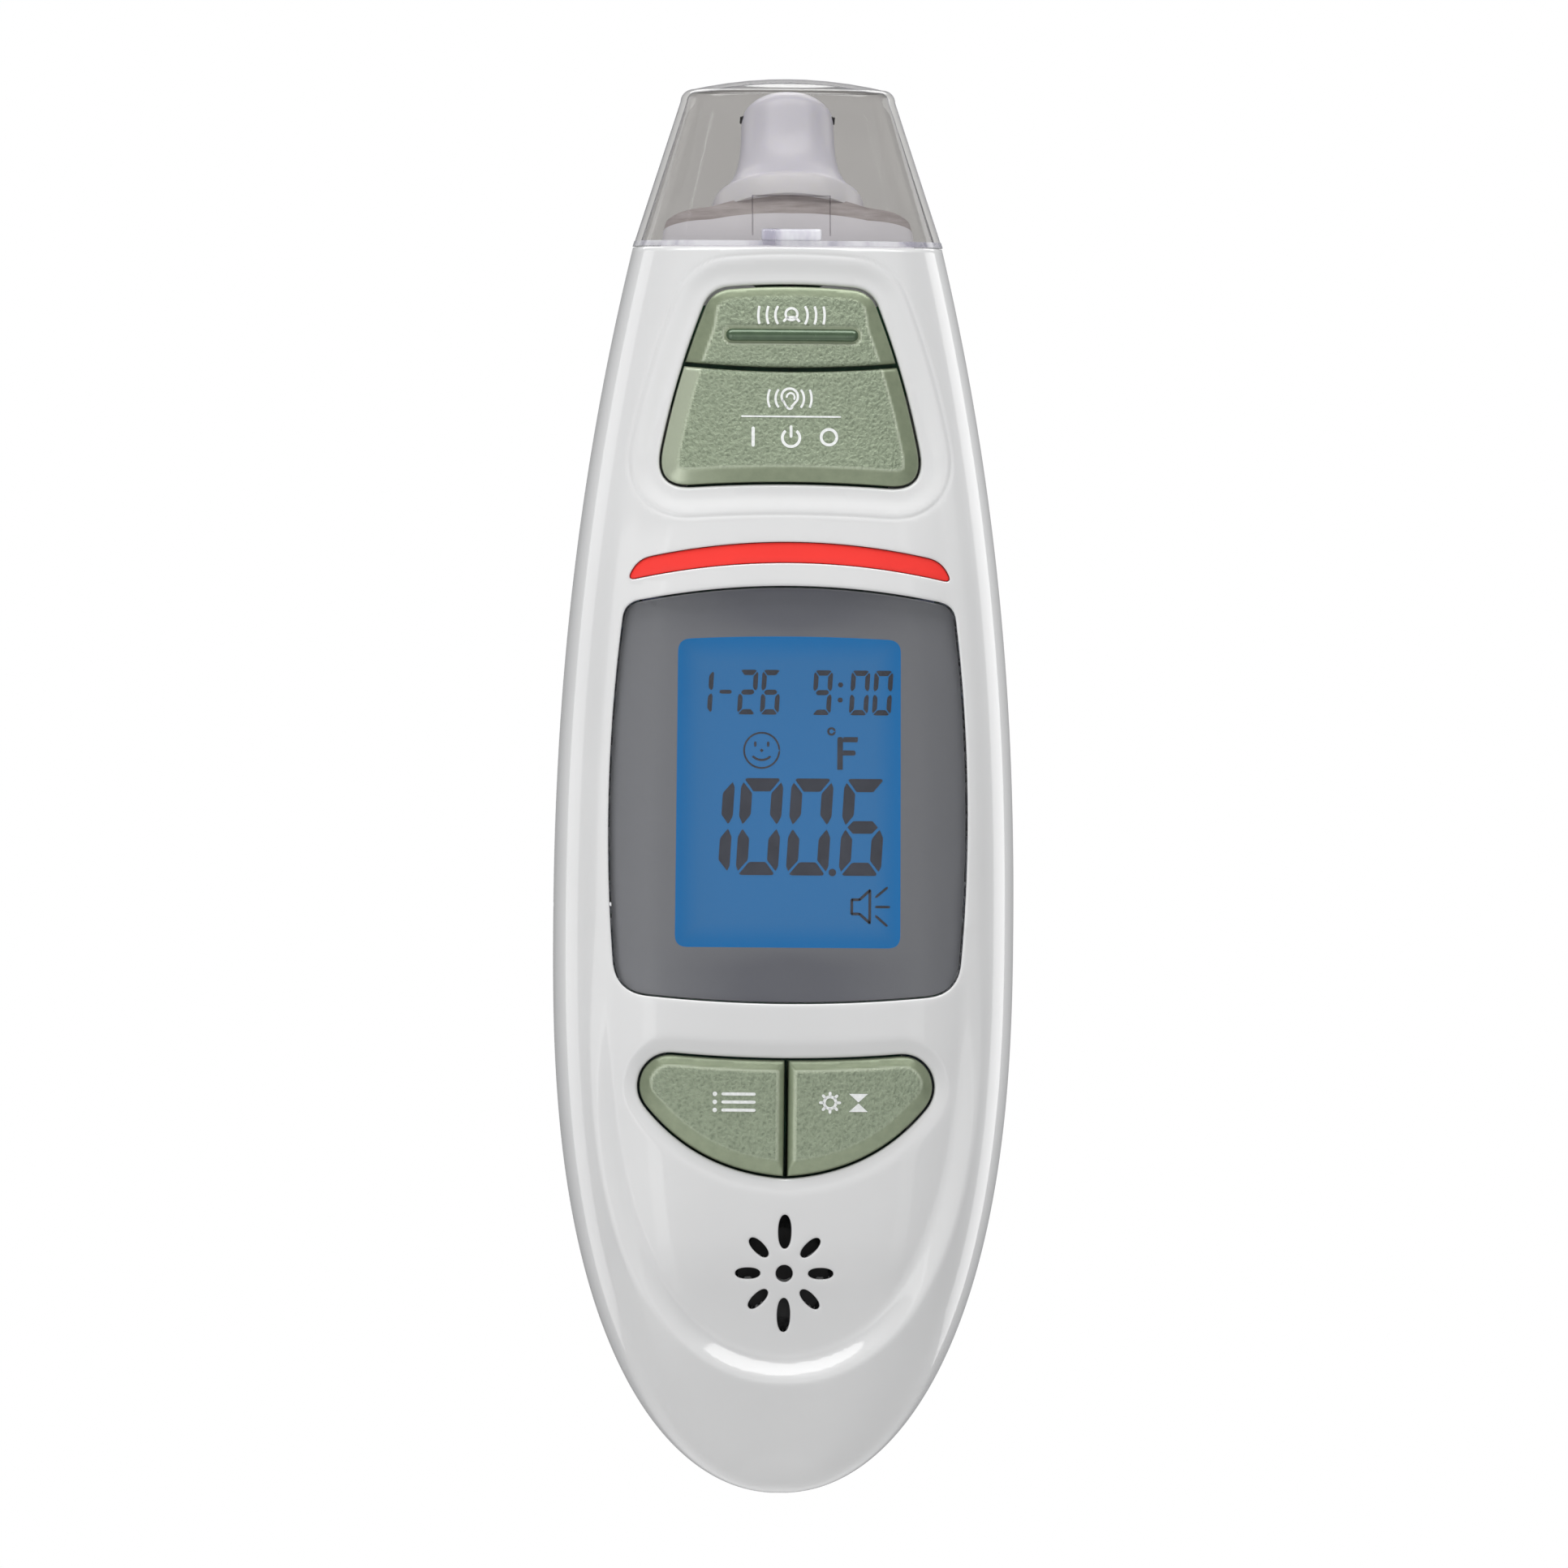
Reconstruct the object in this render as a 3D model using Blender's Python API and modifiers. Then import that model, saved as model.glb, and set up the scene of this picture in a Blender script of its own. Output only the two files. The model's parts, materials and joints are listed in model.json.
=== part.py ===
"""Digital ear and forehead thermometer, modelled as the separate pieces it comes apart into.

Frame: metres, +Z up along the body towards the probe, the display faces -Y, +X is the right-hand
side as the display is read. The origin is under the bottom tip, at the middle of the body's depth.
"""

import math

import bmesh
import bpy
import numpy as np
from mathutils import Matrix, Vector

MM = 0.001

# ---------------------------------------------------------------- driving dimensions
LENGTH = 150.0 * MM  # bottom tip to the top of the probe cap
HALF_WIDTH = 24.3 * MM  # widest half width of the body
FRONT_DEPTH, REAR_DEPTH = 16.5 * MM, 16.1 * MM  # from the parting line, at the widest section
BACK_FLAT = 15.8 * MM  # the back is trimmed to a flat the thermometer lies on
Z_TIP = 0.15 * MM  # the loft starts here and is closed by a tiny flat
Z_WIDE = 60.0 * MM  # height of the widest section
Z_SEAM = 132.2 * MM  # where the probe cap meets the body
SEAM_HALF_WIDTH = 16.2 * MM
SEAM_FRONT = 13.5 * MM  # front depth from the parting line, at the seam
SEAM_REAR = 10.5 * MM
SEAM_SHIFT = 3.5 * MM  # how far the head leans back at the seam
WAIST = 1.8 * MM  # hollow behind the head for the index finger
HAND_END = 0.14  # share of the way to the seam where the back starts to fall away
FRONT_SHAPE, REAR_SHAPE = 3.2, 2.5  # superellipse powers of the two halves of a section

PART_GAP = 0.15 * MM  # half the gap along the parting line
GAP = 0.3 * MM  # gap between pieces that rest on each other
WALL = 2.2 * MM
CUT_THROUGH = (-20.0 * MM, -3.0 * MM)  # from before the front to behind its wall
COVER_WALL = 1.8 * MM

# Sunken front panel, its U-shaped lower end and the dishes round the two key groups
PANEL_HALF_WIDTH = 19.8 * MM
PANEL_END = 12.5 * MM
PANEL_RAIL = 4.6 * MM  # width of the rail left at each side
PANEL_STEP = 3.2 * MM
PANEL_DEEP, PANEL_SHALLOW = 1.3 * MM, 0.5 * MM
DISH_DEPTH, DISH_REACH = 0.9 * MM, 3.2 * MM
LOW_DISH_DEPTH, LOW_DISH_REACH = 0.6 * MM, 1.8 * MM

# Keys
KEY_GAP = 0.3 * MM
KEY_PROUD = 0.25 * MM
KEY_FLANGE = 0.9 * MM  # how far the hidden flange reaches past the key cap, under the housing
KEY_FLANGE_TOP, KEY_FLANGE_LOW = 3.6 * MM, 4.4 * MM  # its depths under the key's own surface
KEY_POST_RADIUS = 1.3 * MM
SPLIT_Z, SPLIT_SAG, SPLIT_GAP = 119.3 * MM, 0.6 * MM, 0.4 * MM
HEAD_BAR_Z, HEAD_BAR_HALF, HEAD_BAR_RADIUS = 122.3 * MM, 6.6 * MM, 0.7 * MM  # raised bar on the head key

# Display
LENS_THICK, TAPE_THICK = 1.3 * MM, 0.15 * MM
POCKET_DEPTH = 1.55 * MM
WINDOW_HALF = (15.2 * MM, 19.6 * MM)  # hole behind the lens, half sizes in x and z
DISPLAY_Z = 74.1 * MM
LCD_HALF = (14.0 * MM, 18.7 * MM)
LCD_FRONT, LCD_THICK = -11.0 * MM, 2.2 * MM
LIGHT_THICK = 1.8 * MM  # backlight panel behind the glass
LCD_FRAME_HALF, LCD_FRAME_FRONT = (15.4 * MM, 20.5 * MM), -9.2 * MM

# Circuit board
PCB_FRONT, PCB_THICK = -4.6 * MM, 1.2 * MM
SWITCH_SIDE, SWITCH_HIGH = 4.4 * MM, 1.5 * MM
PLUNGER_RADIUS = 1.0 * MM
PLUNGER_TOP = -6.85 * MM  # stands further out of the switch than the key travels

# Probe and its cap
PROBE_TILT = math.radians(24)
PROBE_BASE = Vector((0, 1.0, 134.2)) * MM  # middle of the deck the probe stands on
BASE_BORE = 5.8 * MM
CAP_WALL = 1.2 * MM
CAP_TOP_HALF = (11.4 * MM, 8.6 * MM)  # half width and half depth where the top starts to round
CAP_TOP_Y = 4.6 * MM
CAP_ROUND_Z = 147.3 * MM
CAP_ROUND = 2.1 * MM
CAP_GAP = 0.3 * MM

# Batteries, two AAA cells side by side
CELL_RADIUS, CELL_LENGTH = 5.25 * MM, 44.5 * MM
CELL_X, CELL_Y = 5.6 * MM, 6.0 * MM
NUB_RADIUS, NUB_LENGTH = 1.9 * MM, 0.9 * MM
SPRING_WIRE, SPRING_WIDE, SPRING_NARROW = 0.22 * MM, 3.2 * MM, 1.8 * MM
RAIL_Y = 2.0 * MM  # front face of the rails the cover hooks run under
COVER_TOP = 61.9 * MM
GROOVE_TOP, GROOVE_STEP, GROOVES = 50.5 * MM, 2.0 * MM, 4  # thumb grooves across the cover
GROOVE_HALF, GROOVE_RADIUS = 7.0 * MM, 0.5 * MM

# Screws: two under the battery cover, two behind the head
SCREW_LOW = (15.2 * MM, 36.0 * MM)
SCREW_HIGH = (13.5 * MM, 103.0 * MM)
BOSS_RADIUS, PILOT_RADIUS = 2.3 * MM, 1.2 * MM
HIGH_BOSS_END = 1.2 * MM  # where the front bosses behind the head stop
REAR_BOSS_RADIUS, REAR_BOSS_START, REAR_BOSS_END = 3.1 * MM, 1.6 * MM, 9.0 * MM
SINK_RADIUS, SINK_FLOOR = 2.2 * MM, 4.93 * MM  # well for a screw head behind the head
SHANK_RADIUS, HEAD_RADIUS, HEAD_HIGH = 1.0 * MM, 1.9 * MM, 1.3 * MM
SHANK_LENGTH = 7.0 * MM
HIGH_SCREW_SEAT, LOW_SCREW_SEAT = 5.1 * MM, 3.35 * MM

# Speaker grille: a ring of petals round a centre hole
GRILLE_Z = 23.4 * MM
PETALS = 8
PETAL_RING = 3.9 * MM
UPRIGHT_RING = 4.45 * MM
PETAL_HALF, UPRIGHT_HALF, PETAL_HALF_WIDTH = 1.3 * MM, 1.8 * MM, 0.62 * MM
CENTRE_HOLE = 0.9 * MM
SOUNDER_RADIUS, GASKET_HOLE = 6.5 * MM, 4.8 * MM

# ---------------------------------------------------------------- scene and materials
for old in list(bpy.data.objects):
    bpy.data.objects.remove(old)

PARTS = bpy.data.collections.new("ear_thermometer")
CUTTERS = bpy.data.collections.new("cutters")
bpy.context.scene.collection.children.link(PARTS)
bpy.context.scene.collection.children.link(CUTTERS)

# name: (colour, roughness, metallic)
FINISHES = {
    "white_shell": ((0.80, 0.80, 0.80, 1), 0.28, 0.0),
    "green_key": ((0.36, 0.46, 0.32, 1), 0.38, 0.25),
    "clear_plastic": ((0.86, 0.87, 0.86, 0.3), 0.05, 0.0),
    "lens_plastic": ((0.30, 0.32, 0.35, 0.6), 0.08, 0.0),
    "red_light": ((0.93, 0.07, 0.04, 1), 0.30, 0.0),
    "lcd_glass": ((0.03, 0.20, 0.50, 1), 0.15, 0.0),
    "white_inner": ((0.86, 0.86, 0.84, 1), 0.45, 0.0),
    "probe_white": ((0.80, 0.80, 0.87, 1), 0.30, 0.0),
    "board_green": ((0.03, 0.22, 0.10, 1), 0.45, 0.0),
    "black_part": ((0.03, 0.03, 0.03, 1), 0.50, 0.0),
    "steel": ((0.62, 0.62, 0.63, 1), 0.28, 1.0),
    "gold": ((0.83, 0.61, 0.24, 1), 0.22, 1.0),
    "foam": ((0.07, 0.07, 0.07, 1), 0.95, 0.0),
    "cell_wrap": ((0.10, 0.12, 0.15, 1), 0.30, 0.3),
    "wire_wrap": ((0.75, 0.12, 0.08, 1), 0.50, 0.0),
}


def finish(name):
    """The Principled material of that name, made on first use."""
    found = bpy.data.materials.get(name)
    if found:
        return found
    colour, roughness, metallic = FINISHES[name]
    made = bpy.data.materials.new(name)
    made.use_nodes = True
    shader = made.node_tree.nodes["Principled BSDF"]
    shader.inputs["Base Color"].default_value = colour
    shader.inputs["Alpha"].default_value = colour[3]
    shader.inputs["Roughness"].default_value = roughness
    shader.inputs["Metallic"].default_value = metallic
    return made


# ---------------------------------------------------------------- the body's shape
def rounded_end(z, power, root):
    """Share of full size at height z below the widest section, falling to 0 at the tip."""
    t = max(0.0, (Z_WIDE - z) / Z_WIDE)
    return max(0.0, 1 - t**power) ** (1 / root)


def above_wide(z):
    """0 at the widest section, 1 at the seam."""
    return max(0.0, (z - Z_WIDE) / (Z_SEAM - Z_WIDE))


def half_width(z):
    narrowing = (HALF_WIDTH - SEAM_HALF_WIDTH) * above_wide(z) ** 2.15
    return HALF_WIDTH * rounded_end(z, 2.5, 2.1) - narrowing


def front_depth(z):
    narrowing = (FRONT_DEPTH - SEAM_FRONT) * above_wide(z) ** 2.2
    return FRONT_DEPTH * rounded_end(z, 2.6, 2.2) - narrowing


def rear_depth(z):
    t = min(1.0, max(0.0, (above_wide(z) - HAND_END) / (1 - HAND_END)))
    narrowing = (REAR_DEPTH - SEAM_REAR) * ease(t) + WAIST * math.sin(math.pi * t) ** 2
    return REAR_DEPTH * rounded_end(z, 4.0, 2.5) - narrowing


def parting_y(z):
    return SEAM_SHIFT * above_wide(z) ** 2


def ease(t):
    """Smooth step from 0 to 1."""
    t = min(1.0, max(0.0, t))
    return t * t * (3 - 2 * t)


def superellipse_depth(x, width, depth, power):
    return depth * max(0.0, 1 - min(1.0, abs(x) / width) ** power) ** (1 / power)


def panel_field(x, z):
    """Below 1 inside the sunken panel, 1 on its border."""
    if z >= Z_WIDE:
        return (abs(x) / (half_width(z) - PANEL_RAIL)) ** 2.1
    return (abs(x) / PANEL_HALF_WIDTH) ** 2.1 + ((Z_WIDE - z) / (Z_WIDE - PANEL_END)) ** 3


def panel_recess(x, z):
    """How far the panel is sunk at x, z, from the distance to its border."""
    step = 0.05 * MM
    value = panel_field(x, z)
    slope = math.hypot(
        panel_field(x + step, z) - panel_field(x - step, z),
        panel_field(x, z + step) - panel_field(x, z - step),
    ) / (2 * step)
    inside = (1 - value) / max(slope, 1.0)
    deep = PANEL_SHALLOW + (PANEL_DEEP - PANEL_SHALLOW) * ease((62 * MM - z) / (30 * MM))
    fade = ease((128 * MM - z) / (16 * MM))
    return deep * fade * ease(inside / PANEL_STEP + 0.5)


def distance_inside(x, z, outline):
    """Distance from x, z to a closed outline, negative outside it."""
    points = np.array(outline)
    ends = np.roll(points, -1, axis=0)
    along = ends - points
    to = np.array((x, z)) - points
    share = np.clip((to * along).sum(1) / (along * along).sum(1), 0, 1)
    nearest = np.hypot(*(to - along * share[:, None]).T).min()
    crosses = (points[:, 1] > z) != (ends[:, 1] > z)
    with np.errstate(divide="ignore", invalid="ignore"):
        at = points[:, 0] + (z - points[:, 1]) / along[:, 1] * along[:, 0]
    inside = np.count_nonzero(crosses & (x < at)) % 2 == 1
    return nearest if inside else -nearest


def key_surface(x, z):
    """y of the front with the panel but without the dishes: the keys' tops follow it."""
    depth = superellipse_depth(x, half_width(z), front_depth(z), FRONT_SHAPE)
    return parting_y(z) - depth + panel_recess(x, z)


def front_surface(x, z):
    """y of the finished front at x, z."""
    high = distance_inside(x, z, HIGH_KEYS) + DISH_REACH
    low = distance_inside(x, z, LOW_KEYS) + LOW_DISH_REACH
    dishes = DISH_DEPTH * ease(high / (0.75 * DISH_REACH))
    dishes += LOW_DISH_DEPTH * ease(low / LOW_DISH_REACH)
    return key_surface(x, z) + dishes


# ---------------------------------------------------------------- flat outlines, as (x, z)
def soft_polygon(corners, steps=10):
    """Closed outline through corners (x, z, corner trim, bulge of the side that follows)."""
    sides = []
    for i, (x, z, _, bulge) in enumerate(corners):
        x2, z2 = corners[(i + 1) % len(corners)][:2]
        start, end = Vector((x, z)), Vector((x2, z2))
        outward = Vector((end.y - start.y, start.x - end.x)).normalized()
        side = []
        for k in range(steps + 1):
            t = k / steps
            side.append(start.lerp(end, t) + outward * bulge * 4 * t * (1 - t))
        sides.append(side)
    outline = []
    for i, (x, z, trim, _) in enumerate(corners):
        before = trimmed(sides[i - 1][::-1], trim)
        after = trimmed(sides[i], trim)
        corner = Vector((x, z))
        if trim > 0:
            for k in range(5):
                t = k / 4
                a, b = before[0].lerp(corner, t), corner.lerp(after[0], t)
                outline.append(a.lerp(b, t))
        else:
            outline.append(corner)
        own_end = corners[(i + 1) % len(corners)][2]
        body = trimmed(trimmed(sides[i], trim)[::-1], own_end)[::-1]
        outline.extend(body[1:-1])
    return [tuple(p) for p in outline]


def trimmed(side, length):
    """A polyline shortened by length at its start."""
    left, points = length, list(side)
    while len(points) > 2 and (points[1] - points[0]).length <= left:
        left -= (points[1] - points[0]).length
        points.pop(0)
    if left > 0:
        points[0] = points[0] + (points[1] - points[0]).normalized() * left
    return points


def grown(outline, distance):
    """The outline moved outwards by distance (inwards if negative). Outlines run anticlockwise."""
    result = []
    for i, here in enumerate(outline):
        before, after = Vector(outline[i - 1]), Vector(outline[(i + 1) % len(outline)])
        way = (after - before).normalized()
        result.append((here[0] + way.y * distance, here[1] - way.x * distance))
    return result


def ellipse(x, z, half_x, half_z, turn=0.0, steps=14):
    points = []
    for k in range(steps):
        a = 2 * math.pi * k / steps
        u, v = half_x * math.cos(a), half_z * math.sin(a)
        c, s = math.cos(turn), math.sin(turn)
        points.append((x + u * c - v * s, z + u * s + v * c))
    return points


def box_outline(x0, x1, z0, z1):
    return [(x0, z0), (x1, z0), (x1, z1), (x0, z1)]


def display_outline(half_x, half_z):
    """Rectangle round the middle of the display."""
    return box_outline(-half_x, half_x, DISPLAY_Z - half_z, DISPLAY_Z + half_z)


def mirrored(outline):
    return [(-x, z) for x, z in reversed(outline)]


def split_line(x):
    """Height of the sagging line between the head key and the ear key."""
    return SPLIT_Z - SPLIT_SAG * (1 - (x / (12 * MM)) ** 2)


def in_mm(corners):
    return [tuple(value * MM for value in corner) for corner in corners]


# Corners anticlockwise from the lower left: x, z, corner trim, bulge of the next side
HIGH_KEYS = soft_polygon(
    in_mm([(-14.4, 105.9, 4.2, -0.7), (14.4, 105.9, 4.2, 0.7), (8.5, 127.2, 2.0, 0.5),
           (-8.5, 127.2, 2.0, 0.7)])
)
LOW_KEYS = soft_polygon(
    in_mm([(-16.2, 42.6, 2.2, 2.3), (0, 33.4, 0, 2.3), (16.2, 42.6, 2.2, 0.2), (14.0, 46.8, 2.2, -0.7),
           (-14.0, 46.8, 2.2, 0.2)])
)
LENS = soft_polygon(
    in_mm([(-18.1, 53.0, 3.2, 1.1), (18.1, 53.0, 3.2, 1.2), (17.5, 93.9, 1.6, 1.9),
           (-17.5, 93.9, 1.6, 1.2)])
)
LIGHT_BAR = soft_polygon(
    in_mm([(-17.2, 96.3, 1.0, -2.0), (17.2, 96.3, 1.0, 0.0), (16.0, 98.6, 1.4, 1.9),
           (-16.0, 98.6, 1.4, 0.0)])
)


# ---------------------------------------------------------------- building blocks
def add_object(name, mesh, material, collection=PARTS):
    made = bpy.data.objects.new(name, mesh)
    collection.objects.link(made)
    if material:
        mesh.materials.clear()
        mesh.materials.append(finish(material))
    return made


def as_cutter(obj):
    """Keeps a helper out of the object itself."""
    for collection in list(obj.users_collection):
        collection.objects.unlink(obj)
    CUTTERS.objects.link(obj)
    obj.hide_render = True
    obj.display_type = "WIRE"
    return obj


def mesh_from(bm, name):
    bmesh.ops.recalc_face_normals(bm, faces=bm.faces)
    mesh = bpy.data.meshes.new(name)
    bm.to_mesh(mesh)
    bm.free()
    return mesh


def smooth(obj, angle=35):
    obj.data.shade_smooth()
    obj.data.set_sharp_from_angle(angle=math.radians(angle))
    return obj


def box(name, low, high, material=None):
    """Box between two corners given in millimetres."""
    bm = bmesh.new()
    bmesh.ops.create_cube(bm, size=1)
    low, high = Vector(low) * MM, Vector(high) * MM
    for v in bm.verts:
        v.co = Vector((low[i] + (v.co[i] + 0.5) * (high[i] - low[i]) for i in range(3)))
    return add_object(name, mesh_from(bm, name), material)


def rod(name, radius, start, end, material=None, steps=20, end_radius=None):
    """Cylinder or cone between two points."""
    start, end = Vector(start), Vector(end)
    bm = bmesh.new()
    bmesh.ops.create_cone(
        bm, cap_ends=True, segments=steps, radius1=radius,
        radius2=radius if end_radius is None else end_radius, depth=(end - start).length,
    )
    turn = Vector((0, 0, 1)).rotation_difference(end - start).to_matrix().to_4x4()
    bm.transform(Matrix.Translation((start + end) / 2) @ turn)
    return add_object(name, mesh_from(bm, name), material)


def turned(name, profile, base, tilt, material, steps=28):
    """Solid of revolution: a closed profile of (radius, height) turned with a Screw modifier."""
    mesh = bpy.data.meshes.new(name)
    edges = [(i, (i + 1) % len(profile)) for i in range(len(profile))]
    mesh.from_pydata([(r, 0, h) for r, h in reversed(profile)], edges, [])
    obj = add_object(name, mesh, material)
    screw = obj.modifiers.new("turn", "SCREW")
    screw.angle = 2 * math.pi
    screw.steps = screw.render_steps = steps
    screw.use_merge_vertices = True
    screw.merge_threshold = 0.00002
    obj.matrix_world = Matrix.Translation(base) @ Matrix.Rotation(-tilt, 4, "X")
    return obj


def plate(name, outline, y0, y1, material=None):
    """Flat piece of the outline's shape, between two y planes: a filled 2D curve, made a mesh."""
    curve = bpy.data.curves.new(name, "CURVE")
    curve.dimensions = "2D"
    curve.fill_mode = "BOTH"
    curve.extrude = abs(y1 - y0) / 2
    spline = curve.splines.new("POLY")
    spline.points.add(len(outline) - 1)
    for point, (x, z) in zip(spline.points, outline):
        point.co = (x, z, 0, 1)
    spline.use_cyclic_u = True
    place = Matrix.Translation((0, (y0 + y1) / 2, 0)) @ Matrix.Rotation(math.pi / 2, 4, "X")
    return curve_to_mesh(name, curve, place, material)


def curve_to_mesh(name, curve, place, material):
    """Makes a curve a closed mesh that stands where the curve stood."""
    holder = bpy.data.objects.new(name + "_curve", curve)
    PARTS.objects.link(holder)
    holder.matrix_world = place
    graph = bpy.context.evaluated_depsgraph_get()
    mesh = bpy.data.meshes.new_from_object(holder.evaluated_get(graph))
    bpy.data.objects.remove(holder)
    made = add_object(name, mesh, material)
    made.matrix_world = place
    bm = bmesh.new()
    bm.from_mesh(mesh)
    bmesh.ops.remove_doubles(bm, verts=bm.verts, dist=0.00001)
    bmesh.ops.recalc_face_normals(bm, faces=bm.faces)
    bm.to_mesh(mesh)
    bm.free()
    return made


def slab(name, surface, x_half, z_low, z_high, top, low, steps):
    """Solid between two depths under a front surface, over a rectangle of x and z."""
    bm = bmesh.new()
    bmesh.ops.create_grid(bm, x_segments=steps[0], y_segments=steps[1], size=1)
    for v in bm.verts:
        x = v.co.x * x_half
        z = z_low + (v.co.y + 1) / 2 * (z_high - z_low)
        v.co = Vector((x, surface(x, z) + top, z))
    rim = bmesh.ops.extrude_face_region(bm, geom=bm.faces[:])
    pushed = [g for g in rim["geom"] if isinstance(g, bmesh.types.BMVert)]
    bmesh.ops.translate(bm, verts=pushed, vec=(0, low - top, 0))
    return as_cutter(add_object(name, mesh_from(bm, name), None))


def lens_slab(name, top, low):
    """Slab on the grid that the lens, its tape and its pocket share."""
    return slab(name, key_surface, 21.3 * MM, 48.6 * MM, 99.5 * MM, top, low, (13, 9))


def boolean(obj, other, operation="DIFFERENCE"):
    """Adds a Boolean and turns the other object into a helper."""
    as_cutter(other)
    step = obj.modifiers.new(operation.lower() + "_" + other.name, "BOOLEAN")
    step.operation = operation
    step.object = other
    return obj


def even_section(width, depth, power, side, count):
    """Half a section as (x, y offset), evenly spaced along its length; side -1 front, +1 rear."""
    x = width * np.sin(np.linspace(-math.pi / 2, math.pi / 2, 801))
    y = np.array([superellipse_depth(v, width, depth, power) for v in x])
    run = np.concatenate([[0], np.cumsum(np.hypot(np.diff(x), np.diff(y)))])
    even = np.linspace(0, run[-1], count)
    return list(zip(np.interp(even, run, x), side * np.interp(even, run, y)))


def ring_heights(low, high, below, above):
    """Section heights, closer together towards the bottom tip."""
    heights = []
    if low < Z_WIDE:
        first = math.acos(1 - low / Z_WIDE)
        last = math.acos(max(0.0, 1 - min(high, Z_WIDE) / Z_WIDE))
        heights += [Z_WIDE * (1 - math.cos(first + (last - first) * k / below)) for k in range(below + 1)]
    if high > Z_WIDE:
        start = max(low, Z_WIDE)
        heights += [start + (high - start) * k / above for k in range(1 if heights else 0, above + 1)]
    return heights


def half_shell(name, side, heights, count, wall, material, surface=None):
    """Front or rear half of the body: a loft of half sections, thickened inwards."""
    depth_at, power = (front_depth, FRONT_SHAPE) if side < 0 else (rear_depth, REAR_SHAPE)
    bm = bmesh.new()
    rings = []
    for z in heights:
        ring = []
        for x, y in even_section(half_width(z), depth_at(z), power, side, count):
            place = parting_y(z) + y + side * PART_GAP
            if surface and abs(x) < half_width(z) - 0.5 * MM:
                place += surface(x, z) - key_surface(x, z) + panel_recess(x, z)
            ring.append(bm.verts.new((x, place, z)))
        rings.append(ring)
    for low, high in zip(rings, rings[1:]):
        for k in range(count - 1):
            bm.faces.new((low[k], low[k + 1], high[k + 1], high[k]))
    if heights[0] <= Z_TIP:
        bm.faces.new(rings[0])
    bmesh.ops.recalc_face_normals(bm, faces=bm.faces)
    middle = min(bm.faces, key=lambda f: (f.calc_center_median() - Vector((0, side, Z_WIDE))).length)
    if middle.normal.y * side < 0:
        bmesh.ops.reverse_faces(bm, faces=bm.faces)
    mesh = bpy.data.meshes.new(name)
    bm.to_mesh(mesh)
    bm.free()
    obj = add_object(name, mesh, material)
    shell = obj.modifiers.new("wall", "SOLIDIFY")
    shell.thickness = wall
    shell.offset = -1
    shell.use_even_offset = True
    return smooth(obj)


# ---------------------------------------------------------------- housings
def petal_outlines():
    """Centre hole and petals: long ones up and down, shorter ones between."""
    outlines = [ellipse(0, GRILLE_Z, CENTRE_HOLE, CENTRE_HOLE, steps=12)]
    for k in range(PETALS):
        angle = 2 * math.pi * k / PETALS
        upright = abs(math.sin(angle)) > 0.9
        ring, half = (UPRIGHT_RING, UPRIGHT_HALF) if upright else (PETAL_RING, PETAL_HALF)
        x, z = ring * math.cos(angle), GRILLE_Z + ring * math.sin(angle)
        outlines.append(ellipse(x, z, half, PETAL_HALF_WIDTH, turn=angle, steps=12))
    return outlines


def mouth_cut(name):
    """Trims a housing flat where the probe cap sits on it."""
    return box(name, (-30, -30, Z_SEAM / MM), (30, 30, 140))


def back_cut(name):
    """Trims the back to the flat it lies on."""
    return box(name, (-30, BACK_FLAT / MM, 5), (30, 30, 100))


def front_housing():
    heights = ring_heights(Z_TIP, Z_SEAM + MM, 14, 18)
    obj = half_shell("front_housing", -1, heights, 29, WALL, "white_shell", front_surface)
    boolean(obj, mouth_cut("front_mouth"))
    for side in (-1, 1):
        for (x, z), top, label in ((SCREW_LOW, RAIL_Y - GAP, "low"), (SCREW_HIGH, HIGH_BOSS_END, "high")):
            tag = f"{label}_{'left' if side < 0 else 'right'}"
            root = key_surface(x, z) + WALL - 0.8 * MM  # inside the wall, so that the two join
            boss = rod("boss_" + tag, BOSS_RADIUS, (side * x, root, z), (side * x, top, z), steps=20)
            boolean(obj, boss, "UNION")
            floor = root + 2.5 * MM
            boolean(obj, rod("pilot_" + tag, PILOT_RADIUS, (side * x, floor, z), (side * x, top + MM, z)))
    boolean(obj, plate("cut_high_keys", HIGH_KEYS, *CUT_THROUGH))
    boolean(obj, plate("cut_low_keys", LOW_KEYS, *CUT_THROUGH))
    boolean(obj, plate("cut_light_bar", grown(LIGHT_BAR, 0.2 * MM), *CUT_THROUGH))
    pocket = lens_slab("cut_lens_pocket", -3 * MM, POCKET_DEPTH)
    pocket_side = plate("pocket_outline", grown(LENS, 0.2 * MM), *CUT_THROUGH)
    boolean(pocket, pocket_side, "INTERSECT")
    boolean(obj, pocket)
    boolean(obj, plate("cut_window", display_outline(*WINDOW_HALF), *CUT_THROUGH))
    for number, outline in enumerate(petal_outlines()):
        boolean(obj, plate(f"cut_petal_{number}", outline, *CUT_THROUGH))
    return obj


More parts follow.
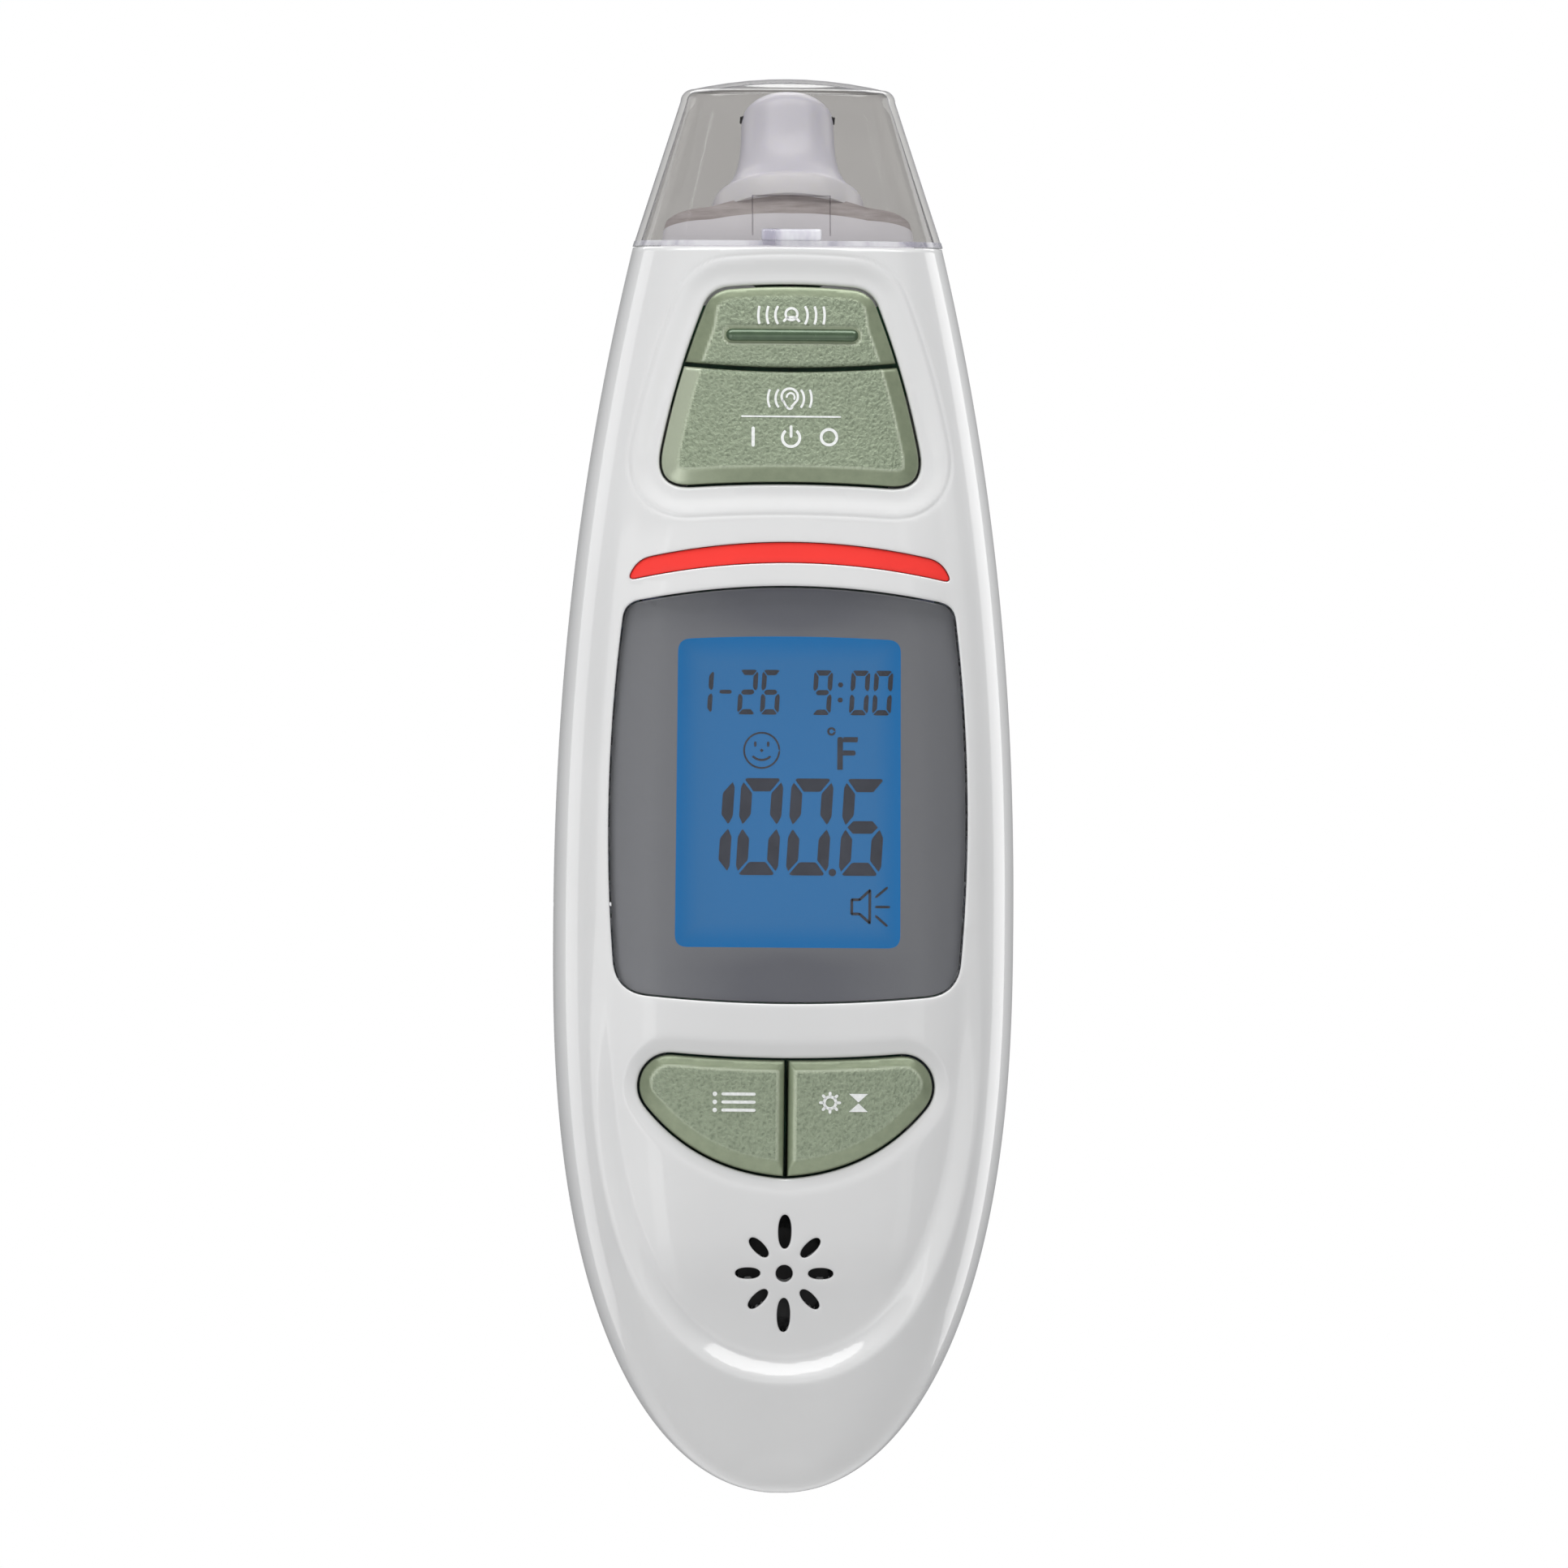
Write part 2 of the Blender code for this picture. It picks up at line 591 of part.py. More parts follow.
def rear_housing():
    heights = ring_heights(COVER_TOP + 0.4 * MM, Z_SEAM + MM, 0, 13)
    obj = half_shell("rear_housing", 1, heights, 21, WALL, "white_shell")
    boolean(obj, mouth_cut("rear_mouth"))
    tray = [
        ("tray_floor", (-12.6, -1.5, 11.0), (12.6, -0.3, 64.2)),
        ("tray_left", (-12.6, -1.0, 11.4), (-11.4, 5.6, 64.0)),
        ("tray_right", (11.4, -1.0, 11.4), (12.6, 5.6, 64.0)),
        ("tray_end", (-11.5, -1.0, 11.0), (11.5, 7.0, 12.2)),
        ("tray_rail_left", (-17.5, 2.0, 24.0), (-12.0, 3.2, 60.0)),
        ("tray_rail_right", (12.0, 2.0, 24.0), (17.5, 3.2, 60.0)),
        ("tray_ear_left", (-18.6, 2.05, 44.0), (-12.3, 3.15, 59.5)),
        ("tray_ear_right", (12.3, 2.05, 44.0), (18.6, 3.15, 59.5)),
        ("tray_bulkhead", (-15.8, -1.35, 62.65), (15.8, 11.7, 64.25)),
        ("tray_bridge", (-22.9, 1.1, 62.75), (22.9, 6.3, 64.15)),
    ]
    for name, low, high in tray:
        boolean(obj, box(name, low, high), "UNION")
    for side in (-1, 1):
        tag = "left" if side < 0 else "right"
        x, z = side * SCREW_HIGH[0], SCREW_HIGH[1]
        ends = (x, REAR_BOSS_START, z), (x, REAR_BOSS_END, z)
        boolean(obj, rod("rear_boss_" + tag, REAR_BOSS_RADIUS, *ends, steps=23), "UNION")
        boolean(obj, rod("rear_hole_" + tag, PILOT_RADIUS, (x, 0, z), (x, REAR_BOSS_END, z), steps=18))
        ends = (x, SINK_FLOOR, z), (x, REAR_DEPTH + MM, z)
        boolean(obj, rod("rear_sink_" + tag, SINK_RADIUS, *ends, steps=21))
        x, z = side * SCREW_LOW[0], SCREW_LOW[1]
        boolean(obj, rod("rail_hole_" + tag, PILOT_RADIUS, (x, 0, z), (x, REAR_BOSS_END, z)))
    return boolean(obj, back_cut("rear_back_cut"))


def battery_cover():
    heights = ring_heights(Z_TIP, COVER_TOP, 14, 1)
    obj = half_shell("battery_cover", 1, heights, 21, COVER_WALL, "white_shell")
    boolean(obj, back_cut("cover_back_cut"))
    boolean(obj, box("cover_tongue", (-4.0, 12.5, 55.0), (4.0, 13.3, 65.6)), "UNION")
    boolean(obj, box("cover_tongue_root", (-4.0, 12.6, 55.0), (4.0, 15.0, 58.0)), "UNION")
    hooks = ((25.0, 31.0, 16.4, 20.2), (46.0, 56.0, 17.8, 23.2))  # z low, z high, x inner, x outer
    for side, tag in ((-1, "left"), (1, "right")):
        for number, (low, high, inner, outer) in enumerate(hooks):
            near, far = sorted((side * inner, side * outer))
            hook = box(f"cover_hook_{tag}_{number}", (near, 0.5, low), (far, 1.7, high))
            boolean(obj, hook, "UNION")
    y = BACK_FLAT + 0.15 * MM
    for number in range(GROOVES):
        z = GROOVE_TOP - GROOVE_STEP * number
        ends = (-GROOVE_HALF, y, z), (GROOVE_HALF, y, z)
        boolean(obj, rod(f"thumb_groove_{number}", GROOVE_RADIUS, *ends, steps=10))
    return obj


# ---------------------------------------------------------------- keys and their switches
def key(name, outline, flange_outline, z_low, z_high):
    """Key cap that follows the front surface, with a hidden flange that keeps it in."""
    span = (17.63 * MM, z_low, z_high)
    cap = slab(name + "_cap", key_surface, *span, -KEY_PROUD, KEY_FLANGE_TOP + 0.4 * MM, (10, 6))
    flange = slab(name + "_flange", key_surface, *span, KEY_FLANGE_TOP, KEY_FLANGE_LOW, (10, 6))
    obj = plate(name, outline, *CUT_THROUGH, "green_key")
    boolean(obj, cap, "INTERSECT")
    wide = plate(name + "_rim", flange_outline, *CUT_THROUGH)
    boolean(wide, flange, "INTERSECT")
    return boolean(obj, wide, "UNION")


def crossing(inner, outer, keeps):
    """Point between two neighbours of an outline where it leaves the kept side."""
    near, far = Vector(inner), Vector(outer)
    for _ in range(20):
        middle = near.lerp(far, 0.5)
        if keeps(*middle):
            near = middle
        else:
            far = middle
    return tuple(near)


def cut_outline(outline, keeps):
    """The run of an outline on the kept side, ended on the cutting line itself."""
    count = len(outline)
    first = next(i for i in range(count) if keeps(*outline[i]) and not keeps(*outline[i - 1]))
    turned_to_first = outline[first:] + outline[:first]
    kept = [p for p in turned_to_first if keeps(*p)]
    start = crossing(kept[0], turned_to_first[-1], keeps)
    end = crossing(kept[-1], turned_to_first[len(kept)], keeps)
    return [start] + kept + [end]


def key_outlines(high, low):
    """The four key shapes cut from the two group outlines."""
    half_split = SPLIT_GAP / 2
    ear = cut_outline(high, lambda x, z: z < split_line(x) - half_split)
    head = cut_outline(high, lambda x, z: z > split_line(x) + half_split)
    for outline, side in ((ear, -1), (head, 1)):
        start, end = outline[-1][0], outline[0][0]
        between = [start + (end - start) * k / 8 for k in range(1, 8)]
        outline.extend((x, split_line(x) + side * half_split) for x in between)
    right = cut_outline(low, lambda x, z: x > half_split)
    return {"head": head, "ear": ear, "memory": mirrored(right), "set": right}


def switch(name, x, z):
    """Tactile switch on the board: a square body with the bore its plunger moves in."""
    x_mm, z_mm, side = x / MM, z / MM, SWITCH_SIDE / MM / 2
    back = PCB_FRONT / MM - 0.1
    front = back - SWITCH_HIGH / MM
    obj = box(name, (x_mm - side, front, z_mm - side), (x_mm + side, back, z_mm + side), "black_part")
    bore = rod(name + "_bore", PLUNGER_RADIUS + 0.1 * MM, (x, -8 * MM, z), (x, PCB_FRONT + 0.6 * MM, z))
    return boolean(obj, bore)


def keys():
    """Four keys, each with a post over its own switch."""
    caps = key_outlines(grown(HIGH_KEYS, -KEY_GAP), grown(LOW_KEYS, -KEY_GAP))
    flanges = key_outlines(grown(HIGH_KEYS, KEY_FLANGE - KEY_GAP), grown(LOW_KEYS, KEY_FLANGE - KEY_GAP))
    places = {
        "head": (0, 123.0, 115.3, 130.7),
        "ear": (0, 113.0, 102.3, 122.1),
        "memory": (-7.2, 41.2, 30.9, 49.3),
        "set": (7.2, 41.2, 30.9, 49.3),
    }
    for label, spot in places.items():
        x, z, z_low, z_high = (value * MM for value in spot)
        name = label + "_key"
        obj = key(name, caps[label], flanges[label], z_low, z_high)
        inside = key_surface(x, z) + KEY_FLANGE_LOW - 0.6 * MM
        ends = (x, inside, z), (x, PLUNGER_TOP - 0.1 * MM, z)
        boolean(obj, rod(name + "_post", KEY_POST_RADIUS, *ends, steps=18), "UNION")
        if label == "head":
            y = key_surface(0, HEAD_BAR_Z) - KEY_PROUD + 0.1 * MM
            ends = (-HEAD_BAR_HALF, y, HEAD_BAR_Z), (HEAD_BAR_HALF, y, HEAD_BAR_Z)
            boolean(obj, rod("head_bar", HEAD_BAR_RADIUS, *ends, steps=12), "UNION")
        switch(label + "_switch", x, z)
        rod(label + "_switch_plunger", PLUNGER_RADIUS, (x, PLUNGER_TOP, z), (x, PCB_FRONT - 0.65 * MM, z),
            "white_inner", steps=16)


# ---------------------------------------------------------------- display stack and board
def display_stack():
    lens = plate("display_lens", LENS, *CUT_THROUGH, "lens_plastic")
    sheet = lens_slab("lens_sheet", 0.0, LENS_THICK)
    boolean(lens, sheet, "INTERSECT")
    tape = plate("lens_tape", grown(LENS, -0.3 * MM), *CUT_THROUGH, "foam")
    tape_front = LENS_THICK + 0.05 * MM
    boolean(tape, lens_slab("tape_sheet", tape_front, tape_front + TAPE_THICK), "INTERSECT")
    wide, tall = WINDOW_HALF[0] + 0.4 * MM, WINDOW_HALF[1] + 0.2 * MM
    boolean(tape, plate("tape_window", display_outline(wide, tall), *CUT_THROUGH))
    wide, tall = LCD_HALF
    plate("lcd_glass", display_outline(wide, tall), LCD_FRONT, LCD_FRONT + LCD_THICK, "lcd_glass")
    light_front = LCD_FRONT + LCD_THICK + 0.2 * MM
    light = box_outline(-wide + 0.5 * MM, wide - 0.5 * MM, DISPLAY_Z - tall + 4 * MM, DISPLAY_Z + tall - MM)
    plate("backlight_panel", light, light_front, light_front + LIGHT_THICK, "white_inner")
    back = PCB_FRONT - 0.2 * MM
    frame = plate("lcd_frame", display_outline(*LCD_FRAME_HALF), LCD_FRAME_FRONT, back, "white_inner")
    hole = display_outline(wide + 0.2 * MM, tall + 0.2 * MM)
    boolean(frame, plate("frame_hole", hole, *CUT_THROUGH))
    box("zebra_strip", (-12.5, -8.6, 56.0), (12.5, -4.8, 58.2), "foam")


def light_bar():
    """Curved red light window above the display, with a flange behind the wall."""
    bar = plate("fever_light_window", LIGHT_BAR, *CUT_THROUGH, "red_light")
    body = slab("bar_sheet", key_surface, 20 * MM, 92 * MM, 103 * MM, 0.1 * MM, 3.4 * MM, (12, 3))
    return boolean(bar, body, "INTERSECT")


def main_board():
    outline = [
        (-12.4, 18.0), (12.4, 18.0), (12.4, 49.5), (16.8, 52.5), (16.8, 95.5), (10.6, 98.6), (10.6, 107.5),
        (12.4, 109.0), (12.4, 118.0), (9.5, 125.5), (-9.5, 125.5), (-12.4, 118.0), (-12.4, 109.0),
        (-10.6, 107.5), (-10.6, 98.6), (-16.8, 95.5), (-16.8, 52.5), (-12.4, 49.5),
    ]
    plate("circuit_board", in_mm(outline), PCB_FRONT, PCB_FRONT + PCB_THICK, "board_green")
    for side, tag in ((-1, "left"), (1, "right")):
        box(f"fever_led_{tag}", (side * 7 - 1.5, -6.0, 97.0), (side * 7 + 1.5, -4.7, 99.4), "white_inner")
    rod("controller_chip", 4.0 * MM, (0, PCB_FRONT + PCB_THICK + 0.1 * MM, 80 * MM),
        (0, PCB_FRONT + PCB_THICK + 1.2 * MM, 80 * MM), "black_part", steps=24, end_radius=2.6 * MM)


def sounder():
    def disc(name, radius, front, back, material=None, steps=28):
        ends = (0, front * MM, GRILLE_Z), (0, back * MM, GRILLE_Z)
        return rod(name, radius, *ends, material, steps)

    disc("sounder", SOUNDER_RADIUS, -8.1, -5.6, "black_part")
    ring = disc("sounder_gasket", SOUNDER_RADIUS - 0.2 * MM, -8.6, -8.2, "foam")
    boolean(ring, disc("gasket_hole", GASKET_HOLE, -9.5, -7.5, steps=24))


# ---------------------------------------------------------------- power
def tube(name, points, radius, material):
    """Round wire through the points: a bevelled curve, made a mesh."""
    curve = bpy.data.curves.new(name, "CURVE")
    curve.dimensions = "3D"
    curve.bevel_depth = radius
    curve.bevel_resolution = 1
    curve.use_fill_caps = True
    spline = curve.splines.new("POLY")
    spline.points.add(len(points) - 1)
    for point, place in zip(spline.points, points):
        point.co = (*place, 1)
    return curve_to_mesh(name, curve, Matrix(), material)


def spring(name, x, z_from, z_to):
    """Conical contact spring, wide end at z_from."""
    turns, per_turn = 3, 10
    points = []
    for k in range(turns * per_turn + 1):
        t = k / (turns * per_turn)
        radius, angle = SPRING_WIDE + (SPRING_NARROW - SPRING_WIDE) * t, 2 * math.pi * turns * t
        z = z_from + (z_to - z_from) * t
        points.append((x + radius * math.cos(angle), CELL_Y + radius * math.sin(angle), z))
    return tube(name, points, SPRING_WIRE, "steel")


def cell(name, x, flat_end, way):
    """AAA cell from its flat end at z = flat_end; way +1 has the nub on top."""
    body_end = flat_end + way * (CELL_LENGTH - NUB_LENGTH)
    obj = rod(name, CELL_RADIUS, (x, CELL_Y, flat_end), (x, CELL_Y, body_end), "cell_wrap", steps=28)
    ends = (x, CELL_Y, body_end - way * MM), (x, CELL_Y, body_end + way * NUB_LENGTH)
    return boolean(obj, rod(name + "_nub", NUB_RADIUS, *ends, steps=16), "UNION")


def power():
    box("battery_bridge", (-10.2, 0.6, 12.3), (10.2, 8.8, 12.7), "steel")
    box("battery_contact_left", (-10.2, 0.6, 62.1), (-0.8, 10.0, 62.5), "steel")
    box("battery_contact_right", (0.8, 0.6, 62.1), (10.2, 10.0, 62.5), "steel")
    spring("battery_spring_left", -CELL_X, 13.05 * MM, 16.9 * MM)
    spring("battery_spring_right", CELL_X, 61.8 * MM, 57.8 * MM)
    cell("battery_left", -CELL_X, 17.3 * MM, 1)
    cell("battery_right", CELL_X, 57.4 * MM, -1)


# ---------------------------------------------------------------- probe, sensor and cap
def along_probe(height):
    """Point on the probe's axis at that height over its base."""
    return PROBE_BASE + Vector((0, math.sin(PROBE_TILT), math.cos(PROBE_TILT))) * height


def oval(z, half_x, half_y, y, count, power=2.6):
    points = []
    for k in range(count):
        a = 2 * math.pi * k / count
        c, s = math.cos(a), math.sin(a)
        points.append(Vector((
            half_x * math.copysign(abs(c) ** (2 / power), c),
            y + half_y * math.copysign(abs(s) ** (2 / power), s), z,
        )))
    return points


def loft(rings, close_start=True, close_end=True):
    bm = bmesh.new()
    rows = [[bm.verts.new(p) for p in ring] for ring in rings]
    for low, high in zip(rows, rows[1:]):
        for k in range(len(low)):
            n = (k + 1) % len(low)
            bm.faces.new((low[k], low[n], high[n], high[k]))
    if close_start:
        bm.faces.new(rows[0][::-1])
    if close_end:
        bm.faces.new(rows[-1])
    return bm


def probe_base():
    """Collar that closes the top of the housing and carries the tilted deck under the probe."""
    # height, half width, front y, rear y of its sections
    sections = [(129.3, 13.5, -7.3, 10.9), (132.4, 13.5, -7.3, 10.9), (140.0, 11.2, -4.5, 10.4)]
    rings = []
    for z, half_x, front, rear in sections:
        rings.append(oval(z * MM, half_x * MM, (rear - front) / 2 * MM, (rear + front) / 2 * MM, 36))
    obj = add_object("probe_base", mesh_from(loft(rings), "probe_base"), "white_inner")
    deck = box("deck_cut", (-20, -20, 0), (20, 20, 20))
    deck.matrix_world = Matrix.Translation(along_probe(-0.15 * MM)) @ Matrix.Rotation(-PROBE_TILT, 4, "X")
    boolean(obj, deck)
    boolean(obj, rod("base_bore", BASE_BORE, along_probe(-16 * MM), along_probe(6 * MM), steps=28))
    return smooth(obj)


def tilted(name, profile, material, steps):
    """Turned piece on the probe's axis; radii and heights in millimetres."""
    return turned(name, [(r * MM, h * MM) for r, h in profile], PROBE_BASE, PROBE_TILT, material, steps)


def probe():
    outside = [
        (5.5, -3.0), (5.5, 0.15), (8.0, 0.15), (8.05, 2.1), (7.7, 2.6), (7.1, 2.9), (6.1, 4.0), (5.45, 5.6),
        (5.05, 8.0), (4.8, 10.6), (4.5, 12.7), (3.9, 13.7), (3.1, 14.1), (2.7, 14.1),
    ]
    tilted("ear_probe", outside + [(2.7, 1.8), (4.2, 0.3), (4.2, -3.0)], "probe_white", 20)
    tilted("waveguide_tube", [(2.4, 0.2), (2.4, 13.0), (1.9, 13.0), (1.9, 0.2)], "gold", 20)
    holder = [(4.0, -4.6), (4.0, -0.1), (1.8, -0.1), (1.8, -1.4), (2.7, -1.4), (2.7, -4.6)]
    tilted("sensor_holder", holder, "gold", 20)
    rod("probe_window", 2.4 * MM, along_probe(13.2 * MM), along_probe(13.6 * MM), "black_part")
    rod("thermopile_sensor", 2.4 * MM, along_probe(-4.3 * MM), along_probe(-1.7 * MM), "steel")
    rod("sensor_board", 4.6 * MM, along_probe(-5.9 * MM), along_probe(-4.9 * MM), "board_green", steps=24)


def sensor_cable():
    """Ribbon of wires from the sensor's board down to the top of the circuit board."""
    start = along_probe(-6.6 * MM)
    points = []
    for k in range(9):
        t = k / 8
        points.append((0, start.y + (-2.4 * MM - start.y) * ease(t), start.z + (115 * MM - start.z) * t))
    return tube("sensor_cable", points, 0.6 * MM, "wire_wrap")


def cap_section(z):
    """Half width, half depth and middle y of the cap's outside at height z, below its rounding."""
    t = (z - Z_SEAM) / (CAP_ROUND_Z - Z_SEAM)
    seam_depth = (SEAM_REAR + SEAM_FRONT) / 2 - 0.1 * MM
    seam_y = SEAM_SHIFT + (SEAM_REAR - SEAM_FRONT) / 2
    return (
        SEAM_HALF_WIDTH + (CAP_TOP_HALF[0] - SEAM_HALF_WIDTH) * t,
        seam_depth + (CAP_TOP_HALF[1] - seam_depth) * t,
        seam_y + (CAP_TOP_Y - seam_y) * t,
    )


def probe_cap():
    """Clear cover over the probe: tapered, with a rounded and slightly domed top."""
    low = Z_SEAM - MM
    rings = []
    for k in range(4):
        z = low + (CAP_ROUND_Z - low) * k / 3
        half_x, half_y, y = cap_section(z)
        rings.append(oval(z, half_x, half_y, y, 30, 2.9))
    for k in range(1, 4):
        a = math.pi / 2 * k / 4
        shrink = CAP_ROUND * (1 - math.cos(a))
        z = CAP_ROUND_Z + CAP_ROUND * math.sin(a)
        rings.append(oval(z, CAP_TOP_HALF[0] - shrink, CAP_TOP_HALF[1] - shrink, CAP_TOP_Y, 30, 2.9))
    dome = LENGTH - CAP_ROUND_Z - CAP_ROUND
    for share, rise in ((0.75, 0.4), (0.4, 0.85), (0.12, 1.0)):
        half_x, half_y = CAP_TOP_HALF[0] * share, CAP_TOP_HALF[1] * share
        rings.append(oval(CAP_ROUND_Z + CAP_ROUND + rise * dome, half_x, half_y, CAP_TOP_Y, 30, 2.6))
    obj = add_object("probe_cap", mesh_from(loft(rings, close_start=False), "probe_cap"), "clear_plastic")
    wall = obj.modifiers.new("wall", "SOLIDIFY")
    wall.thickness = CAP_WALL
    wall.offset = -1
    wall.use_even_offset = True
    boolean(obj, box("cap_foot_cut", (-30, -30, 100), (30, 30, (Z_SEAM + CAP_GAP) / MM)))
    boolean(obj, box("cap_catch_window", (-2.9, -14.0, 133.3), (2.9, -6.0, 134.3)))
    return smooth(obj)


# ---------------------------------------------------------------- screws
def screw(name, x, z, head_y):
    """Self-tapping screw with its head towards +Y."""
    obj = rod(name, HEAD_RADIUS, (x, head_y, z), (x, head_y + HEAD_HIGH, z), "steel", steps=14)
    ends = (x, head_y - SHANK_LENGTH, z), (x, head_y + 0.5 * MM, z)
    boolean(obj, rod(name + "_shank", SHANK_RADIUS, *ends, steps=10), "UNION")
    x, y, z = x / MM, (head_y + HEAD_HIGH) / MM, z / MM
    return boolean(obj, box(name + "_slot", (x - 1.2, y - 0.5, z - 0.25), (x + 1.2, y + 1, z + 0.25)))


def screws():
    for side, tag in ((-1, "left"), (1, "right")):
        screw("upper_screw_" + tag, side * SCREW_HIGH[0], SCREW_HIGH[1], HIGH_SCREW_SEAT)
        screw("lower_screw_" + tag, side * SCREW_LOW[0], SCREW_LOW[1], LOW_SCREW_SEAT)


front_housing()
rear_housing()
battery_cover()
keys()
display_stack()
light_bar()
main_board()
sounder()
power()
probe_base()
probe()
sensor_cable()
probe_cap()
screws()
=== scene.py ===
"""Looks of the ear and forehead thermometer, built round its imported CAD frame.

Lengths inside the shape functions are millimetres in the CAD's frame; M turns them into metres.
"""

import json
import math

import bmesh
import bpy
import numpy as np
from mathutils import Matrix, Vector
from mathutils.geometry import delaunay_2d_cdt


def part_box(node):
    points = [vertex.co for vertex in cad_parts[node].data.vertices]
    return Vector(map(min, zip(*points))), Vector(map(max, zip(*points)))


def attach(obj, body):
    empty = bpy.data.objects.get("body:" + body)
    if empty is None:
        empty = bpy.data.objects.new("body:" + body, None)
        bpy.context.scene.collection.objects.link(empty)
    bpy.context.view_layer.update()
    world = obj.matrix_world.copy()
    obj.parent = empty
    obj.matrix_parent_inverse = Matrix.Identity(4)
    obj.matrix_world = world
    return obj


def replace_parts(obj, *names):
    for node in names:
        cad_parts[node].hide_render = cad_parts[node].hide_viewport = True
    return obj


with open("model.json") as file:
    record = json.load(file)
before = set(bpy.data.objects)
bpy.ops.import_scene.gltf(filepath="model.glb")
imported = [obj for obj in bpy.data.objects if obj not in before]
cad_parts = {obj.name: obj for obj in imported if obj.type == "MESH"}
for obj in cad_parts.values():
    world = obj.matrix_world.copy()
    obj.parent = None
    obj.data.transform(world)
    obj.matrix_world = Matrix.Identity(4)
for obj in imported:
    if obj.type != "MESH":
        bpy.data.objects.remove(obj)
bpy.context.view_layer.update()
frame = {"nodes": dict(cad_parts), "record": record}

M = 0.001

# ------------------------------------------------------------ the body's shape, as in the CAD
HALF_WIDTH, SEAM_HALF_WIDTH = 24.3, 16.2
FRONT_DEPTH, REAR_DEPTH, SEAM_FRONT, SEAM_REAR = 16.5, 16.1, 13.5, 10.5
BACK_FLAT, SEAM_SHIFT, WAIST, HAND_END = 15.8, 3.5, 1.8, 0.14
FRONT_POWER, REAR_POWER = 3.2, 2.5
Z_WIDE, Z_SEAM, COVER_TOP, PART_GAP = 60.0, 132.2, 61.9, 0.15
PANEL_HALF_WIDTH, PANEL_END, PANEL_RAIL, PANEL_STEP = 19.8, 13.2, 4.6, 2.4
PANEL_DEEP, PANEL_SHALLOW, PANEL_FOOT = 1.8, 0.5, 0.75
DISH_DEPTH, DISH_REACH, LOW_DISH_DEPTH, LOW_DISH_REACH = 0.65, 3.2, 0.45, 1.8
CREASE_DEPTH, CREASE_WIDTH = 0.12, 0.20  # fine line round the dish of the upper keys
SPLIT_Z, SPLIT_SAG, SPLIT_GAP, KEY_GAP = 119.3, 0.6, 0.42, 0.24
KEY_PROUD = 0.22
HEAD_BAR_X, HEAD_BAR_Z, HEAD_BAR_HALF = 0.1, 122.35, 6.35
PROBE_TILT = math.radians(24)
PROBE_BASE = Vector((0, 1.0, 134.2))
COLLAR_DROP, COLLAR_SHOULDER = 0.15, 8.3  # edge below the probe's foot; where the edge starts to rise
CAP_ROUND_Z, CAP_ROUND, CAP_TOP, CAP_APEX, CAP_POWER = 147.2, 1.3, (11.35, 8.6, 4.6), 149.65, 2.9
BODY_TOP, CAP_FOOT, FOOT = 131.65, 131.8, 0.03  # upper edge of the housings, lower edges of cap and body
HIGH_SCREW_X, HIGH_SCREW_Z, LOW_SCREW_X, LOW_SCREW_Z = 13.5, 103.0, 15.2, 36.0
LCD_Z, GRILLE_Z, CELL_X, CELL_Y = 74.1, 23.4, 5.6, 6.0
HEAD_TOP, EAR_FOOT = 125.5, 100.0  # the painted highlight on the upper keys' edges fades to a fifth above the one; the painted highlight on the ear key's left chamfer starts above the other


def ease(t):
    t = np.clip(t, 0, 1)
    return t * t * (3 - 2 * t)


def ramp(t, bend=0.16):
    """0 to 1 with an even slope and softly rounded ends."""
    rising = np.where(t < bend, (t + bend) ** 2 / (4 * bend), t)
    falling = 1 - (1 - t + bend) ** 2 / (4 * bend)
    return np.where(t < -bend, 0, np.where(t > 1 + bend, 1, np.where(t > 1 - bend, falling, rising)))


def rounded_end(z, power, root):
    t = np.clip((Z_WIDE - z) / Z_WIDE, 0, 1)
    return np.clip(1 - t**power, 0, None) ** (1 / root)


def above_wide(z):
    return np.clip((z - Z_WIDE) / (Z_SEAM - Z_WIDE), 0, None)


def half_width(z):
    return HALF_WIDTH * rounded_end(z, 2.5, 2.1) - (HALF_WIDTH - SEAM_HALF_WIDTH) * above_wide(z) ** 2.15


def front_depth(z):
    return FRONT_DEPTH * rounded_end(z, 2.6, 2.2) - (FRONT_DEPTH - SEAM_FRONT) * above_wide(z) ** 2.2


def rear_depth(z):
    t = np.clip((above_wide(z) - HAND_END) / (1 - HAND_END), 0, 1)
    narrowing = (REAR_DEPTH - SEAM_REAR) * ease(t) + WAIST * np.sin(math.pi * t) ** 2
    return REAR_DEPTH * rounded_end(z, 4.0, 2.5) - narrowing


def parting_y(z):
    return SEAM_SHIFT * above_wide(z) ** 2


def panel_field(x, z):
    rail = (np.abs(x) / (half_width(np.maximum(z, Z_WIDE)) - PANEL_RAIL)) ** 2.1
    end = np.clip((Z_WIDE - z) / (Z_WIDE - PANEL_END), 0, None) ** 3
    return np.where(z >= Z_WIDE, rail, (np.abs(x) / PANEL_HALF_WIDTH) ** 2.1 + end)


def panel_recess(x, z):
    e = 0.05
    value = panel_field(x, z)
    slope = np.hypot(
        panel_field(x + e, z) - panel_field(x - e, z), panel_field(x, z + e) - panel_field(x, z - e)
    ) / (2 * e)
    inside = (1 - value) / np.maximum(slope, 0.001)
    deep = PANEL_SHALLOW + (PANEL_DEEP - PANEL_SHALLOW) * ease((62 - z) / 30)
    deep = deep + PANEL_FOOT * ease((27 - z) / 12)
    return deep * ease((128 - z) / 16) * ramp(inside / PANEL_STEP + 0.5)


def key_surface(x, z):
    """y of the front with its sunken panel, without the dishes round the keys."""
    x, z = np.asarray(x, float), np.asarray(z, float)
    share = np.clip(1 - np.clip(np.abs(x) / half_width(z), 0, 1) ** FRONT_POWER, 0, None)
    return parting_y(z) - front_depth(z) * share ** (1 / FRONT_POWER) + panel_recess(x, z)


